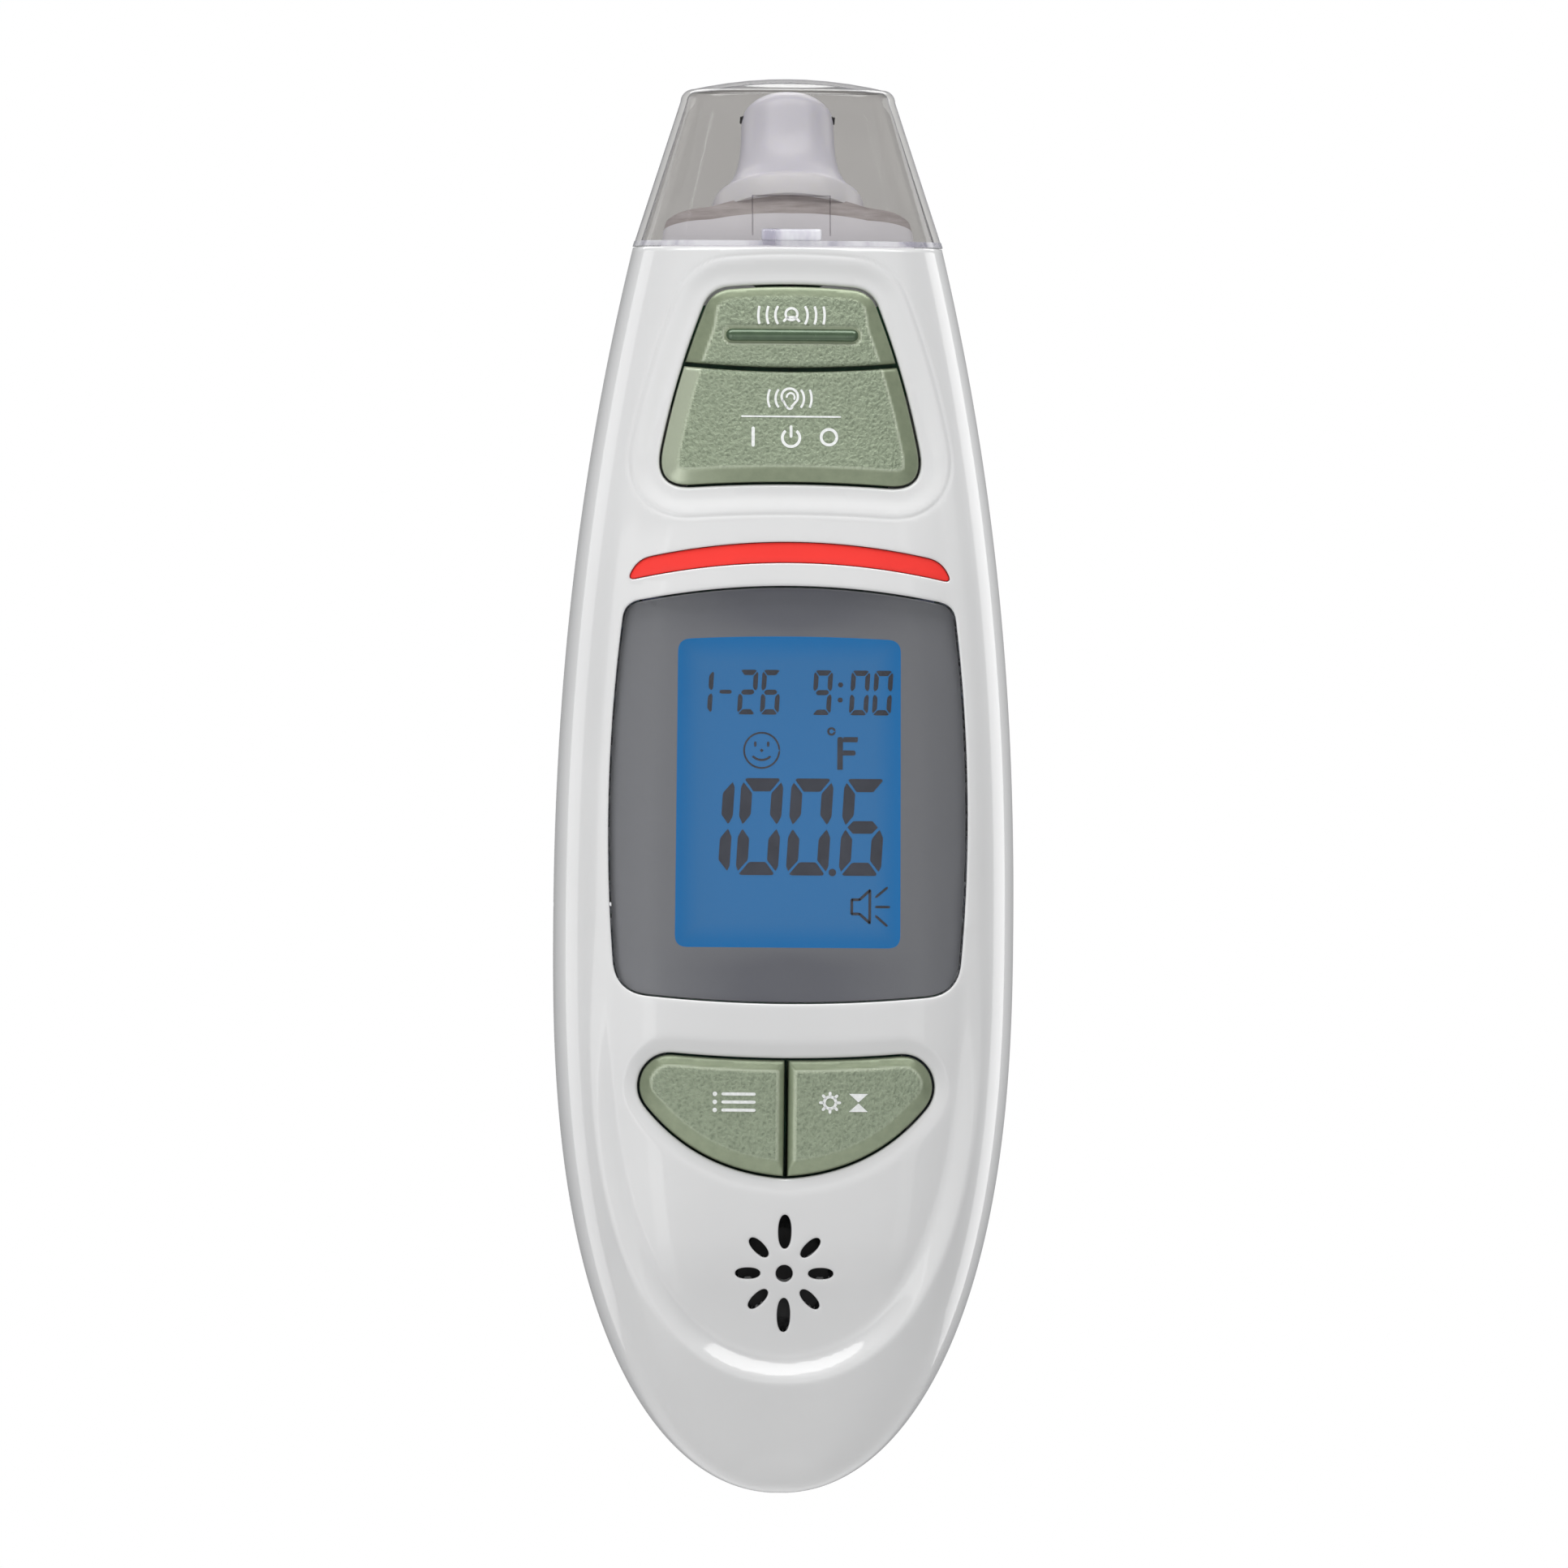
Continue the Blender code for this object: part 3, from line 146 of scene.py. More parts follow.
# ------------------------------------------------------------ flat outlines in x, z
def distance_inside(x, z, outline):
    """Distance to a closed outline, negative outside it."""
    points = np.asarray(outline, float)
    ends = np.roll(points, -1, axis=0)
    along = ends - points
    length2 = np.maximum((along * along).sum(1), 1e-12)
    x, z = np.atleast_1d(x).astype(float), np.atleast_1d(z).astype(float)
    result = np.empty(len(x))
    for start in range(0, len(x), 4000):
        px, pz = x[start:start + 4000, None], z[start:start + 4000, None]
        tx, tz = px - points[:, 0], pz - points[:, 1]
        share = np.clip((tx * along[:, 0] + tz * along[:, 1]) / length2, 0, 1)
        near = np.hypot(tx - along[:, 0] * share, tz - along[:, 1] * share).min(1)
        crosses = (points[:, 1] > pz) != (ends[:, 1] > pz)
        safe = np.where(along[:, 1] == 0, 1e-12, along[:, 1])
        at = points[:, 0] + (pz - points[:, 1]) / safe * along[:, 0]
        inside = (crosses & (px < at)).sum(1) % 2 == 1
        result[start:start + 4000] = np.where(inside, near, -near)
    return result


def resampled(points, spacing, closed=True):
    """The line with evenly spaced points."""
    points = np.asarray(points, float)
    line = np.vstack([points, points[:1]]) if closed else points
    run = np.concatenate([[0], np.cumsum(np.hypot(*np.diff(line, axis=0).T))])
    count = max(4, int(round(run[-1] / spacing)))
    at = np.linspace(0, run[-1], count + 1)
    even = np.stack([np.interp(at, run, line[:, 0]), np.interp(at, run, line[:, 1])], 1)
    return even[:-1] if closed else even


def trimmed(side, length):
    points = list(side)
    while len(points) > 2 and (points[1] - points[0]).length <= length:
        length -= (points[1] - points[0]).length
        points.pop(0)
    if length > 0:
        points[0] = points[0] + (points[1] - points[0]).normalized() * length
    return points


def soft_polygon(corners, spacing=0.3):
    """Closed outline through corners (x, z, corner trim, bulge of the side that follows)."""
    sides = []
    for i, (x, z, _, bulge) in enumerate(corners):
        start, end = Vector((x, z)), Vector(corners[(i + 1) % len(corners)][:2])
        outward = Vector((end.y - start.y, start.x - end.x)).normalized()
        sides.append([start.lerp(end, t) + outward * bulge * 4 * t * (1 - t) for t in np.linspace(0, 1, 61)])
    outline = []
    for i, (x, z, trim, _) in enumerate(corners):
        before, after = trimmed(sides[i - 1][::-1], trim), trimmed(sides[i], trim)
        corner = Vector((x, z))
        if trim > 0:
            for t in np.linspace(0, 1, 13):
                outline.append(before[0].lerp(corner, t).lerp(corner.lerp(after[0], t), t))
        else:
            outline.append(corner)
        body = trimmed(after[::-1], corners[(i + 1) % len(corners)][2])[::-1]
        outline.extend(body[1:-1])
    return resampled([tuple(p) for p in outline], spacing)


def box_outline(x0, z0, x1, z1, trim, spacing=0.3):
    """Rectangle with rounded corners."""
    return soft_polygon([(x, z, trim, 0) for x, z in ((x0, z0), (x1, z0), (x1, z1), (x0, z1))], spacing)


def grown(outline, distance):
    """The outline moved outwards, for outlines that run anticlockwise."""
    points = np.asarray(outline, float)
    way = np.roll(points, -1, axis=0) - np.roll(points, 1, axis=0)
    way /= np.maximum(np.hypot(way[:, 0], way[:, 1]), 1e-9)[:, None]
    return points + np.stack([way[:, 1], -way[:, 0]], 1) * distance


def ellipse(x, z, half_x, half_z, turn=0.0, steps=40, power=2.0):
    a = np.linspace(0, 2 * math.pi, steps, endpoint=False)
    u = half_x * np.sign(np.cos(a)) * np.abs(np.cos(a)) ** (2 / power)
    v = half_z * np.sign(np.sin(a)) * np.abs(np.sin(a)) ** (2 / power)
    c, s = math.cos(turn), math.sin(turn)
    return np.stack([x + u * c - v * s, z + u * s + v * c], 1)


def bar(x0, z0, x1, z1, width):
    """A straight stroke with round ends."""
    a, b = np.array((x0, z0), float), np.array((x1, z1), float)
    angle = math.atan2(z1 - z0, x1 - x0)
    points = []
    for centre, first in ((b, angle - math.pi / 2), (a, angle + math.pi / 2)):
        for k in range(9):
            t = first + math.pi * k / 8
            points.append(centre + width / 2 * np.array((math.cos(t), math.sin(t))))
    return np.array(points)


def arc(x, z, radius, start, end, width, steps=28):
    """A curved stroke, angles in degrees."""
    t = np.radians(np.linspace(start, end, steps))
    outer = np.stack([x + (radius + width / 2) * np.cos(t), z + (radius + width / 2) * np.sin(t)], 1)
    inner = np.stack([x + (radius - width / 2) * np.cos(t), z + (radius - width / 2) * np.sin(t)], 1)
    return np.vstack([outer, inner[::-1]])


HIGH_KEYS = soft_polygon(
    [(-14.4, 105.9, 4.2, -0.7), (14.4, 105.9, 4.2, 0.7), (8.5, 127.2, 2.0, 0.5), (-8.5, 127.2, 2.0, 0.7)]
)
LOW_KEYS = soft_polygon(
    [(-16.2, 42.6, 2.2, 2.3), (0, 33.4, 0, 2.3), (16.2, 42.6, 2.2, 0.2), (14.0, 46.8, 2.2, -0.7),
     (-14.0, 46.8, 2.2, 0.2)]
)
LENS = soft_polygon(
    [(-18.0, 53.0, 3.2, 1.1), (18.0, 53.0, 3.2, 1.2), (17.3, 93.9, 1.5, 1.9), (-17.3, 93.9, 1.5, 1.2)]
)
LIGHT_BAR = soft_polygon(
    [(-17.2, 96.3, 1.0, -2.0), (17.2, 96.3, 1.0, 0.0), (16.0, 98.6, 1.4, 1.9), (-16.0, 98.6, 1.4, 0.0)]
)
WINDOW = soft_polygon(
    [(-11.9, 57.75, 1.3, 0.0), (11.9, 57.75, 1.3, 0.0), (11.75, 90.2, 1.3, 0.35), (-11.75, 90.2, 1.3, 0.0)]
)
DISH = grown(HIGH_KEYS, DISH_REACH)
LABEL = box_outline(-9, 88, 9, 100, 1.5)


def petals():
    """Holes of the sounder grille: a round one and eight petals."""
    outlines = [ellipse(0, GRILLE_Z, 0.9, 0.9, steps=28)]
    for k in range(8):
        angle = math.pi / 4 * k
        ring, half_long, half_wide = (4.4, 1.8, 0.70) if k % 4 == 2 else (3.85, 1.33, 0.60)
        spot = ring * math.cos(angle), GRILLE_Z + ring * math.sin(angle)
        outlines.append(ellipse(*spot, half_long, half_wide, turn=angle, steps=36, power=2.2))
    return outlines


def front_extra(x, z):
    """What the front has on top of its plain section: the panel, the dishes and a fine line."""
    high = distance_inside(x, z, HIGH_KEYS)
    low = distance_inside(x, z, LOW_KEYS)
    extra = panel_recess(x, z)
    extra = extra + DISH_DEPTH * ease((high + DISH_REACH) / (0.8 * DISH_REACH))
    extra = extra + CREASE_DEPTH * np.exp(-(((high + DISH_REACH) / CREASE_WIDTH) ** 2))
    return extra + LOW_DISH_DEPTH * ease((low + LOW_DISH_REACH) / LOW_DISH_REACH)


# ------------------------------------------------------------ meshes
ALL_SMOOTH = 180  # no edge is sharper than this


def from_bmesh(name, bm, body="body", angle=35):
    """Object from a bmesh in millimetres."""
    bmesh.ops.scale(bm, verts=bm.verts, vec=(M, M, M))
    mesh = bpy.data.meshes.new(name)
    bm.to_mesh(mesh)
    bm.free()
    mesh.shade_smooth()
    mesh.set_sharp_from_angle(angle=math.radians(angle))
    obj = bpy.data.objects.new(name, mesh)
    bpy.context.scene.collection.objects.link(obj)
    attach(obj, body)
    return obj


def triangulated(points, loops):
    """Delaunay triangles over 2-D points that respect closed loops, given as index lists."""
    edges = [(loop[k], loop[(k + 1) % len(loop)]) for loop in loops for k in range(len(loop))]
    made = delaunay_2d_cdt([Vector(p) for p in points], edges, [], 0, 1e-7)
    return np.array([tuple(v) for v in made[0]]), np.array([list(f) for f in made[2] if len(f) == 3])


class Shell:
    """Half of the body as a sheet over arc length across (u) and along (v)."""

    ACROSS = 35.0

    def __init__(self, side, low, high):
        power = FRONT_POWER if side < 0 else REAR_POWER
        self.side, self.low, self.high = side, low, high
        self.depth = front_depth if side < 0 else rear_depth
        t = np.linspace(0, math.pi / 2, 6001)
        self.xs, self.ys = np.sin(t) ** (2 / power), np.cos(t) ** (2 / power)
        run = np.cumsum(np.hypot(np.diff(self.xs) * 24, np.diff(self.ys) * 15.5))
        self.run = np.concatenate([[0], run]) / run[-1]
        self.zs = low + (high - low) * np.linspace(0, 1, 6001) ** 2
        rise = np.hypot(np.diff(self.zs), np.diff(self.depth(self.zs)))
        self.along = np.concatenate([[0], np.cumsum(rise)])

    def flat(self, points):
        """From x, z to the sheet's own coordinates."""
        points = np.asarray(points, float)
        share = points[:, 0] / half_width(points[:, 1])
        u = np.sign(share) * np.interp(np.abs(share), self.xs, self.run)
        return np.stack([u * self.ACROSS, np.interp(points[:, 1], self.zs, self.along)], 1)

    def solid(self, flat):
        """From the sheet's coordinates to x, y offset, z."""
        u, z = flat[:, 0] / self.ACROSS, np.interp(flat[:, 1], self.along, self.zs)
        x = half_width(z) * np.sign(u) * np.interp(np.abs(u), self.run, self.xs)
        y = self.depth(z) * np.interp(np.abs(u), self.run, self.ys)
        return x, parting_y(z) + self.side * (y + PART_GAP), z


def shell(name, side, low, high, holes, extra, spacing, wall, body, creases=()):
    """Outer skin of a housing, thickened inwards; holes are (outline, radius of its rounded edge)."""
    sheet = Shell(side, low, high)
    across, tall = Shell.ACROSS, sheet.along[-1]
    nu, nv = int(2 * across / spacing), int(tall / spacing)
    us, vs = np.linspace(-across, across, nu + 1), np.linspace(0, tall, nv + 1)
    points = [(u, 0) for u in us] + [(across, v) for v in vs[1:]]
    points += [(u, tall) for u in us[-2::-1]] + [(-across, v) for v in vs[-2:0:-1]]
    loops = [list(range(len(points)))]
    grid = np.array([(u, v) for v in vs[1:-1] for u in us[1:-1]])
    x, _, z = sheet.solid(grid)
    keep = np.ones(len(grid), bool)
    for hole, radius in holes:
        keep &= distance_inside(x, z, hole) < -(radius + 0.45 * spacing)
        loops.append(list(range(len(points), len(points) + len(hole))))
        for share in (0.0, 0.13, 0.3, 0.58, 1.0):
            points.extend(map(tuple, sheet.flat(grown(hole, radius * share))))
    for crease in creases:
        keep &= np.abs(distance_inside(x, z, crease)) > 0.5 + 0.3 * spacing
        for distance in (-0.5, -0.28, -0.12, 0.0, 0.12, 0.28, 0.5):
            points.extend(map(tuple, sheet.flat(grown(crease, distance))))
    points.extend(map(tuple, grid[keep]))
    flat, faces = triangulated(points, loops)
    x, y, z = sheet.solid(flat)
    drop = np.zeros(len(x))
    mx, _, mz = sheet.solid(flat[faces].mean(1))
    solid = np.ones(len(faces), bool)
    for hole, radius in holes:
        near = np.clip(radius - np.maximum(-distance_inside(x, z, hole), 0), 0, radius)
        drop = np.maximum(drop, radius - np.sqrt(radius**2 - near**2))
        solid &= distance_inside(mx, mz, hole) < 0
    bm = bmesh.new()
    inward, sunk = bm.verts.layers.float_vector.new("inward"), bm.verts.layers.float.new("sunk")
    made = [bm.verts.new(place) for place in zip(x, y + extra(x, z, y), z)]
    for vert, depth in zip(made, drop):
        vert[sunk] = depth * 0.8
    for f in faces[solid]:
        bm.faces.new([made[i] for i in (f if side > 0 else f[::-1])])
    bmesh.ops.delete(bm, geom=[v for v in bm.verts if not v.link_faces], context="VERTS")
    if low < 1:
        tip = [e for e in bm.edges if e.is_boundary and all(v.co.z < low + 0.01 for v in e.verts)]
        bmesh.ops.contextual_create(bm, geom=tip)
    bmesh.ops.recalc_face_normals(bm, faces=bm.faces)
    outermost = max(bm.faces, key=lambda f: f.calc_center_median().y * side)
    if outermost.normal.y * side < 0:
        bmesh.ops.reverse_faces(bm, faces=bm.faces)
    bm.normal_update()
    straight = Vector((0, -side, 0))  # the walls of the holes go straight in
    for v in bm.verts:
        v[inward] = (straight if v[sunk] > 0 else -v.normal) * wall
    for v in bm.verts:
        v.co.y -= side * v[sunk]
    copied = bmesh.ops.extrude_face_region(bm, geom=bm.faces[:], use_keep_orig=True)
    for v in [g for g in copied["geom"] if isinstance(g, bmesh.types.BMVert)]:
        v.co += v[inward]
    bmesh.ops.recalc_face_normals(bm, faces=bm.faces)
    return paint(from_bmesh(name, bm, body, ALL_SMOOTH), MATERIALS["shell"])


def pad(outline, surface, spacing, thickness, edge=0.0, holes=(), bm=None, flat_back=None):
    """Closed plate over an outline whose top follows a surface y(x, z); its edge can be rounded."""
    rims = [0.0] if edge <= 0 else [0.0, edge * 0.15, edge * 0.4, edge]
    low, high = np.min(outline, axis=0), np.max(outline, axis=0)
    counts = np.maximum(1, ((high - low) / spacing).astype(int))
    gx = np.linspace(low[0], high[0], counts[0] + 2)[1:-1]
    gz = np.linspace(low[1], high[1], counts[1] + 2)[1:-1]
    grid = np.array([(a, b) for b in gz for a in gx])
    keep = distance_inside(grid[:, 0], grid[:, 1], outline) > rims[-1] + 0.4 * spacing
    points, loops = [], []
    for sign, line in [(-1, outline)] + [(1, hole) for hole in holes]:
        if sign > 0:
            keep &= distance_inside(grid[:, 0], grid[:, 1], line) < -(rims[-1] + 0.4 * spacing)
        for rim in rims:
            ring = grown(line, sign * rim)
            if rim == 0:
                loops.append(list(range(len(points), len(points) + len(ring))))
            points.extend(map(tuple, ring))
    points.extend(map(tuple, grid[keep]))
    flat, faces = triangulated(points, loops)
    middle = flat[faces].mean(1)
    inside = distance_inside(middle[:, 0], middle[:, 1], outline) > 0
    away = distance_inside(flat[:, 0], flat[:, 1], outline)
    for hole in holes:
        inside &= distance_inside(middle[:, 0], middle[:, 1], hole) < 0
        away = np.minimum(away, -distance_inside(flat[:, 0], flat[:, 1], hole))
    y = surface(flat[:, 0], flat[:, 1])
    if edge > 0:
        near = np.clip(edge - np.maximum(away, 0), 0, edge)
        y = y + edge - np.sqrt(edge**2 - near**2)
    own = bm or bmesh.new()
    made = [own.verts.new((a, b, c)) for a, b, c in zip(flat[:, 0], y, flat[:, 1])]
    top = [own.faces.new([made[i] for i in f]) for f in faces[inside]]
    bmesh.ops.delete(own, geom=[v for v in made if not v.link_faces], context="VERTS")
    copied = bmesh.ops.extrude_face_region(own, geom=top, use_keep_orig=True)
    back = [g for g in copied["geom"] if isinstance(g, bmesh.types.BMVert)]
    for v in back:
        v.co.y = flat_back if flat_back is not None else v.co.y + thickness
    return own


def plate_object(name, outlines, surface, spacing, thickness, body="body", edge=0.0, holes=(),
                 flat_back=None, angle=50):
    bm = bmesh.new()
    for outline in outlines:
        pad(outline, surface, spacing, thickness, edge, holes, bm, flat_back)
    bmesh.ops.recalc_face_normals(bm, faces=bm.faces)
    return from_bmesh(name, bm, body, angle)


def loft(rings, close_start=True, close_end=True):
    bm = bmesh.new()
    rows = [[bm.verts.new(p) for p in ring] for ring in rings]
    for low, high in zip(rows, rows[1:]):
        for k in range(len(low)):
            n = (k + 1) % len(low)
            bm.faces.new((low[k], low[n], high[n], high[k]))
    if close_start:
        bm.faces.new(rows[0][::-1])
    if close_end:
        bm.faces.new(rows[-1])
    bmesh.ops.recalc_face_normals(bm, faces=bm.faces)
    return bm


FORWARD, BACKWARD = math.radians(-90), math.radians(90)  # tilts that lay a turned piece down


def turned(name, profile, base, tilt, body="body", steps=72, closed=True, angle=35):
    """Solid of revolution from (radius, height) points about an axis tilted back by tilt."""
    rings = []
    for r, h in list(profile) + ([profile[0]] if closed else []):
        ring = []
        for k in range(steps):
            a = 2 * math.pi * k / steps
            ring.append(Vector((r * math.cos(a), r * math.sin(a), h)))
        rings.append(ring)
    bm = loft(rings, not closed, not closed)
    bmesh.ops.remove_doubles(bm, verts=bm.verts, dist=0.0005)
    bm.transform(Matrix.Translation(base) @ Matrix.Rotation(-tilt, 4, "X"))
    bmesh.ops.recalc_face_normals(bm, faces=bm.faces)
    return from_bmesh(name, bm, body, angle)


def smooth_profile(points, steps=6):
    """Catmull-Rom line through (radius, height) points."""
    p = [np.array(q, float) for q in points]
    p = [2 * p[0] - p[1]] + p + [2 * p[-1] - p[-2]]
    line = []
    for a, b, c, d in zip(p, p[1:], p[2:], p[3:]):
        for k in range(steps):
            t = k / steps
            line.append(0.5 * (2 * b + (c - a) * t + (2 * a - 5 * b + 4 * c - d) * t**2
                               + (3 * b - a - 3 * c + d) * t**3))
    return [tuple(q) for q in line] + [tuple(p[-2])]


def rounded_box(name, low, high, body, radius):
    """Box with bevelled edges, between two corners in millimetres."""
    bm = bmesh.new()
    bmesh.ops.create_cube(bm, size=1)
    low, high = Vector(low), Vector(high)
    for v in bm.verts:
        v.co = Vector((low[i] + (v.co[i] + 0.5) * (high[i] - low[i]) for i in range(3)))
    bmesh.ops.bevel(bm, geom=bm.edges, offset=radius, segments=3, profile=0.5, affect="EDGES")
    return from_bmesh(name, bm, body)


def tube(name, points, radius, body="body", steps=10):
    """Round wire through points in millimetres."""
    points = [Vector(p) for p in points]
    rings, side = [], Vector((1, 0, 0))
    for k, here in enumerate(points):
        way = (points[min(k + 1, len(points) - 1)] - points[max(k - 1, 0)]).normalized()
        side = (side - way * side.dot(way)).normalized()
        other = way.cross(side)
        rings.append([here + (side * math.cos(a) + other * math.sin(a)) * radius
                      for a in np.linspace(0, 2 * math.pi, steps, endpoint=False)])
    return from_bmesh(name, loft(rings), body)


# ------------------------------------------------------------ materials
class Value:
    """A node output that formulas can use; a comparison gives 0 or 1."""

    def __init__(self, nodes, socket):
        self.nodes, self.socket = nodes, socket

    def math(self, operation, first, second=0.0):
        node = self.nodes.add("ShaderNodeMath", operation=operation)
        self.nodes.feed(node.inputs[0], first)
        self.nodes.feed(node.inputs[1], second)
        return Value(self.nodes, node.outputs[0])

    def __add__(self, other):
        return self.math("ADD", self, other)

    def __sub__(self, other):
        return self.math("SUBTRACT", self, other)

    def __rsub__(self, other):
        return self.math("SUBTRACT", other, self)

    def __mul__(self, other):
        return self.math("MULTIPLY", self, other)

    def __abs__(self):
        return self.math("ABSOLUTE", self)

    def __gt__(self, other):
        return self.math("GREATER_THAN", self, other)

    def __lt__(self, other):
        return self.math("LESS_THAN", self, other)

    def least(self, other):
        return self.math("MINIMUM", self, other)

    def most(self, other):
        return self.math("MAXIMUM", self, other)


class Nodes:
    """Short way to write a node material; numbers are in the object's metres."""

    def __init__(self, name):
        self.material = bpy.data.materials.new(name)
        self.material.use_nodes = True
        self.tree = self.material.node_tree
        self.shader = self.tree.nodes["Principled BSDF"]
        self.surface = self.tree.nodes["Material Output"].inputs["Surface"]
        self.place = self.out("ShaderNodeTexCoord", "Object")

    def add(self, kind, **settings):
        node = self.tree.nodes.new(kind)
        for key, value in settings.items():
            setattr(node, key, value)
        return node

    def feed(self, slot, value):
        """Links a value to an input, or sets the input to a number, a vector or a colour."""
        if isinstance(value, Value):
            self.tree.links.new(value.socket, slot)
        elif isinstance(value, tuple) and len(value) < len(slot.default_value):
            slot.default_value = (*value, 1)
        else:
            slot.default_value = value

    def out(self, kind, output, feeds=None, **settings):
        """One output of a new node whose inputs are fed by name."""
        node = self.add(kind, **settings)
        for name, value in (feeds or {}).items():
            self.feed(node.inputs[name], value)
        return Value(self, node.outputs[output])

    def set(self, **values):
        """Feeds the inputs of the main shader."""
        for key, value in values.items():
            self.feed(self.shader.inputs[key.replace("_", " ")], value)

    def light(self, kind):
        """1 for rays of one kind, 0 for the others."""
        return self.out("ShaderNodeLightPath", kind)

    def parts(self, vector):
        """The x, y and z of a vector."""
        node = self.add("ShaderNodeSeparateXYZ")
        self.feed(node.inputs["Vector"], vector)
        return [Value(self, node.outputs[k]) for k in "XYZ"]

    def noise(self, scale, detail=3.0, roughness=0.5, stretch=None):
        place = self.place
        if stretch:
            place = self.out("ShaderNodeMapping", "Vector", {"Vector": place, "Scale": stretch})
        feeds = {"Vector": place, "Scale": scale, "Detail": detail, "Roughness": roughness}
        return self.out("ShaderNodeTexNoise", "Fac", feeds)

    def ramp(self, factor, *stops):
        """Colour ramp from (position, colour) stops."""
        node = self.add("ShaderNodeValToRGB")
        elements = node.color_ramp.elements
        while len(elements) < len(stops):
            elements.new(0.5)
        for element, (position, colour) in zip(elements, stops):
            element.position, element.color = position, (*colour, 1)
        self.feed(node.inputs["Fac"], factor)
        return Value(self, node.outputs["Color"])

    def spread(self, factor, low, high):
        """Maps 0..1 to low..high."""
        return self.out("ShaderNodeMapRange", "Result", {"Value": factor, "To Min": low, "To Max": high})

    def mixed(self, factor, first, second):
        """Colour between two others."""
        feeds = {"Factor": factor, "A": first, "B": second}
        return self.out("ShaderNodeMix", "Result", feeds, data_type="RGBA")

    def layered(self, factor, below, above):
        """Shader between two others."""
        node = self.add("ShaderNodeMixShader")
        for slot, value in zip(node.inputs, (factor, below, above)):
            self.feed(slot, value)
        return Value(self, node.outputs["Shader"])

    def bump(self, height, distance, strength=1.0):
        feeds = {"Height": height, "Distance": distance, "Strength": strength}
        self.set(Normal=self.out("ShaderNodeBump", "Normal", feeds))


def varied(name, dark, light, roughness, scale=120, bump=0.00001, bump_scale=1500, stretch=None, **more):
    """Moulded or plated material: fine colour and gloss variation and a little surface relief."""
    n = Nodes(name)
    n.set(Base_Color=n.ramp(n.noise(scale, 4.0, stretch=stretch), (0.35, dark), (0.65, light)))
    n.set(Roughness=n.spread(n.noise(scale * 3, 3.0, stretch=stretch), roughness * 0.85, roughness * 1.15))
    n.bump(n.noise(bump_scale, 2.0, stretch=stretch), bump, 0.5)
    n.set(**more)
    return n.material


def key_material():
    """Spark-eroded plateau with a smooth chamfer in a pearly sage green, with painted highlights on the
    plateau's edges where they face up and on the left of the ear key's chamfer.
    """
    n = Nodes("sage_key")
    mask = n.out("ShaderNodeAttribute", "Fac", attribute_name="plateau")
    feeds = {"Vector": n.place, "Scale": 2300, "Smoothness": 0.6}
    cells = n.out("ShaderNodeTexVoronoi", "Distance", feeds, feature="SMOOTH_F1")
    pits = cells * 0.6 + n.noise(3600, 3.0, 0.6)
    chamfer = n.ramp(n.noise(900, 5.0, 0.6), (0.3, (0.215, 0.255, 0.165)), (0.7, (0.255, 0.298, 0.195)))
    plateau = n.ramp(pits, (0.3, (0.150, 0.186, 0.120)), (0.9, (0.268, 0.318, 0.220)))
    # Painted highlights: a paler green where the plateau's edge faces up, and on the left side of the ear
    # key's chamfer.
    right, _, up = n.parts(n.out("ShaderNodeNewGeometry", "Normal"))
    height = n.parts(n.place)[2]
    from_above = (up * 3.0 + 1.0).most(0.0).least(1.0)
    rim = mask * (1.0 - mask) * (1.0 - (height > HEAD_TOP * M) * 0.8) * 2.6
    ear_side = (height > EAR_FOOT * M) * (height < SPLIT_Z * M) * (1.0 - mask)
    left_highlight = (right * -2.2).most(0.0).least(0.75) * ear_side
    # the paler green mixed in here is the painted highlight
    colour = n.mixed((rim * from_above).most(left_highlight), n.mixed(mask, chamfer, plateau), (0.50, 0.55, 0.42))
    n.set(Base_Color=colour, Metallic=0.35, Coat_Weight=0.25, Coat_Roughness=0.22)
    n.set(Roughness=n.spread(mask, 0.34, 0.40))
    n.bump(pits, 0.00024, n.spread(mask, 0.05, 1.0))
    return n.material


def clear_material(name, tint, edge, even_painted_sheen=0.0, grain=2600):
    """Smoky clear plastic: each wall dims what lies behind it and carries a painted streaky white sheen
    towards its edges.
    """
    n = Nodes(name)
    lighter = tuple(min(1, c * 1.02) for c in tint)
    cloudy = n.ramp(n.noise(90, 2.0), (0.3, tint), (0.7, lighter))
    tinted = n.mixed(n.light("Is Shadow Ray"), cloudy, (0.92, 0.92, 0.92))
    clear = n.out("ShaderNodeBsdfTransparent", "BSDF", {"Color": tinted})
    facing = n.out("ShaderNodeLayerWeight", "Facing", {"Blend": 0.5})
    streaks = n.noise(grain, 4.0, 0.65, stretch=(1, 1, 0.05))
    # Painted sheen: a streaky white and grey diffuse colour towards grazing angles, plus an even share over
    # the face, for camera rays only, in place of the light that clear walls bend and reflect.
    painted_sheen_share = n.ramp(facing, (0.80, BLACK), (0.99, WHITE)) * n.ramp(streaks, (0.38, BLACK), (0.62, WHITE)) * edge
    painted_sheen_colour = n.ramp(streaks, (0.42, (0.36, 0.35, 0.44)), (0.58, (0.88, 0.88, 0.92)))
    painted_sheen = n.out("ShaderNodeBsdfDiffuse", "BSDF", {"Color": painted_sheen_colour})
    return glossed(n, n.layered((painted_sheen_share + even_painted_sheen) * n.light("Is Camera Ray"), clear, painted_sheen), 1.42, 0.10)


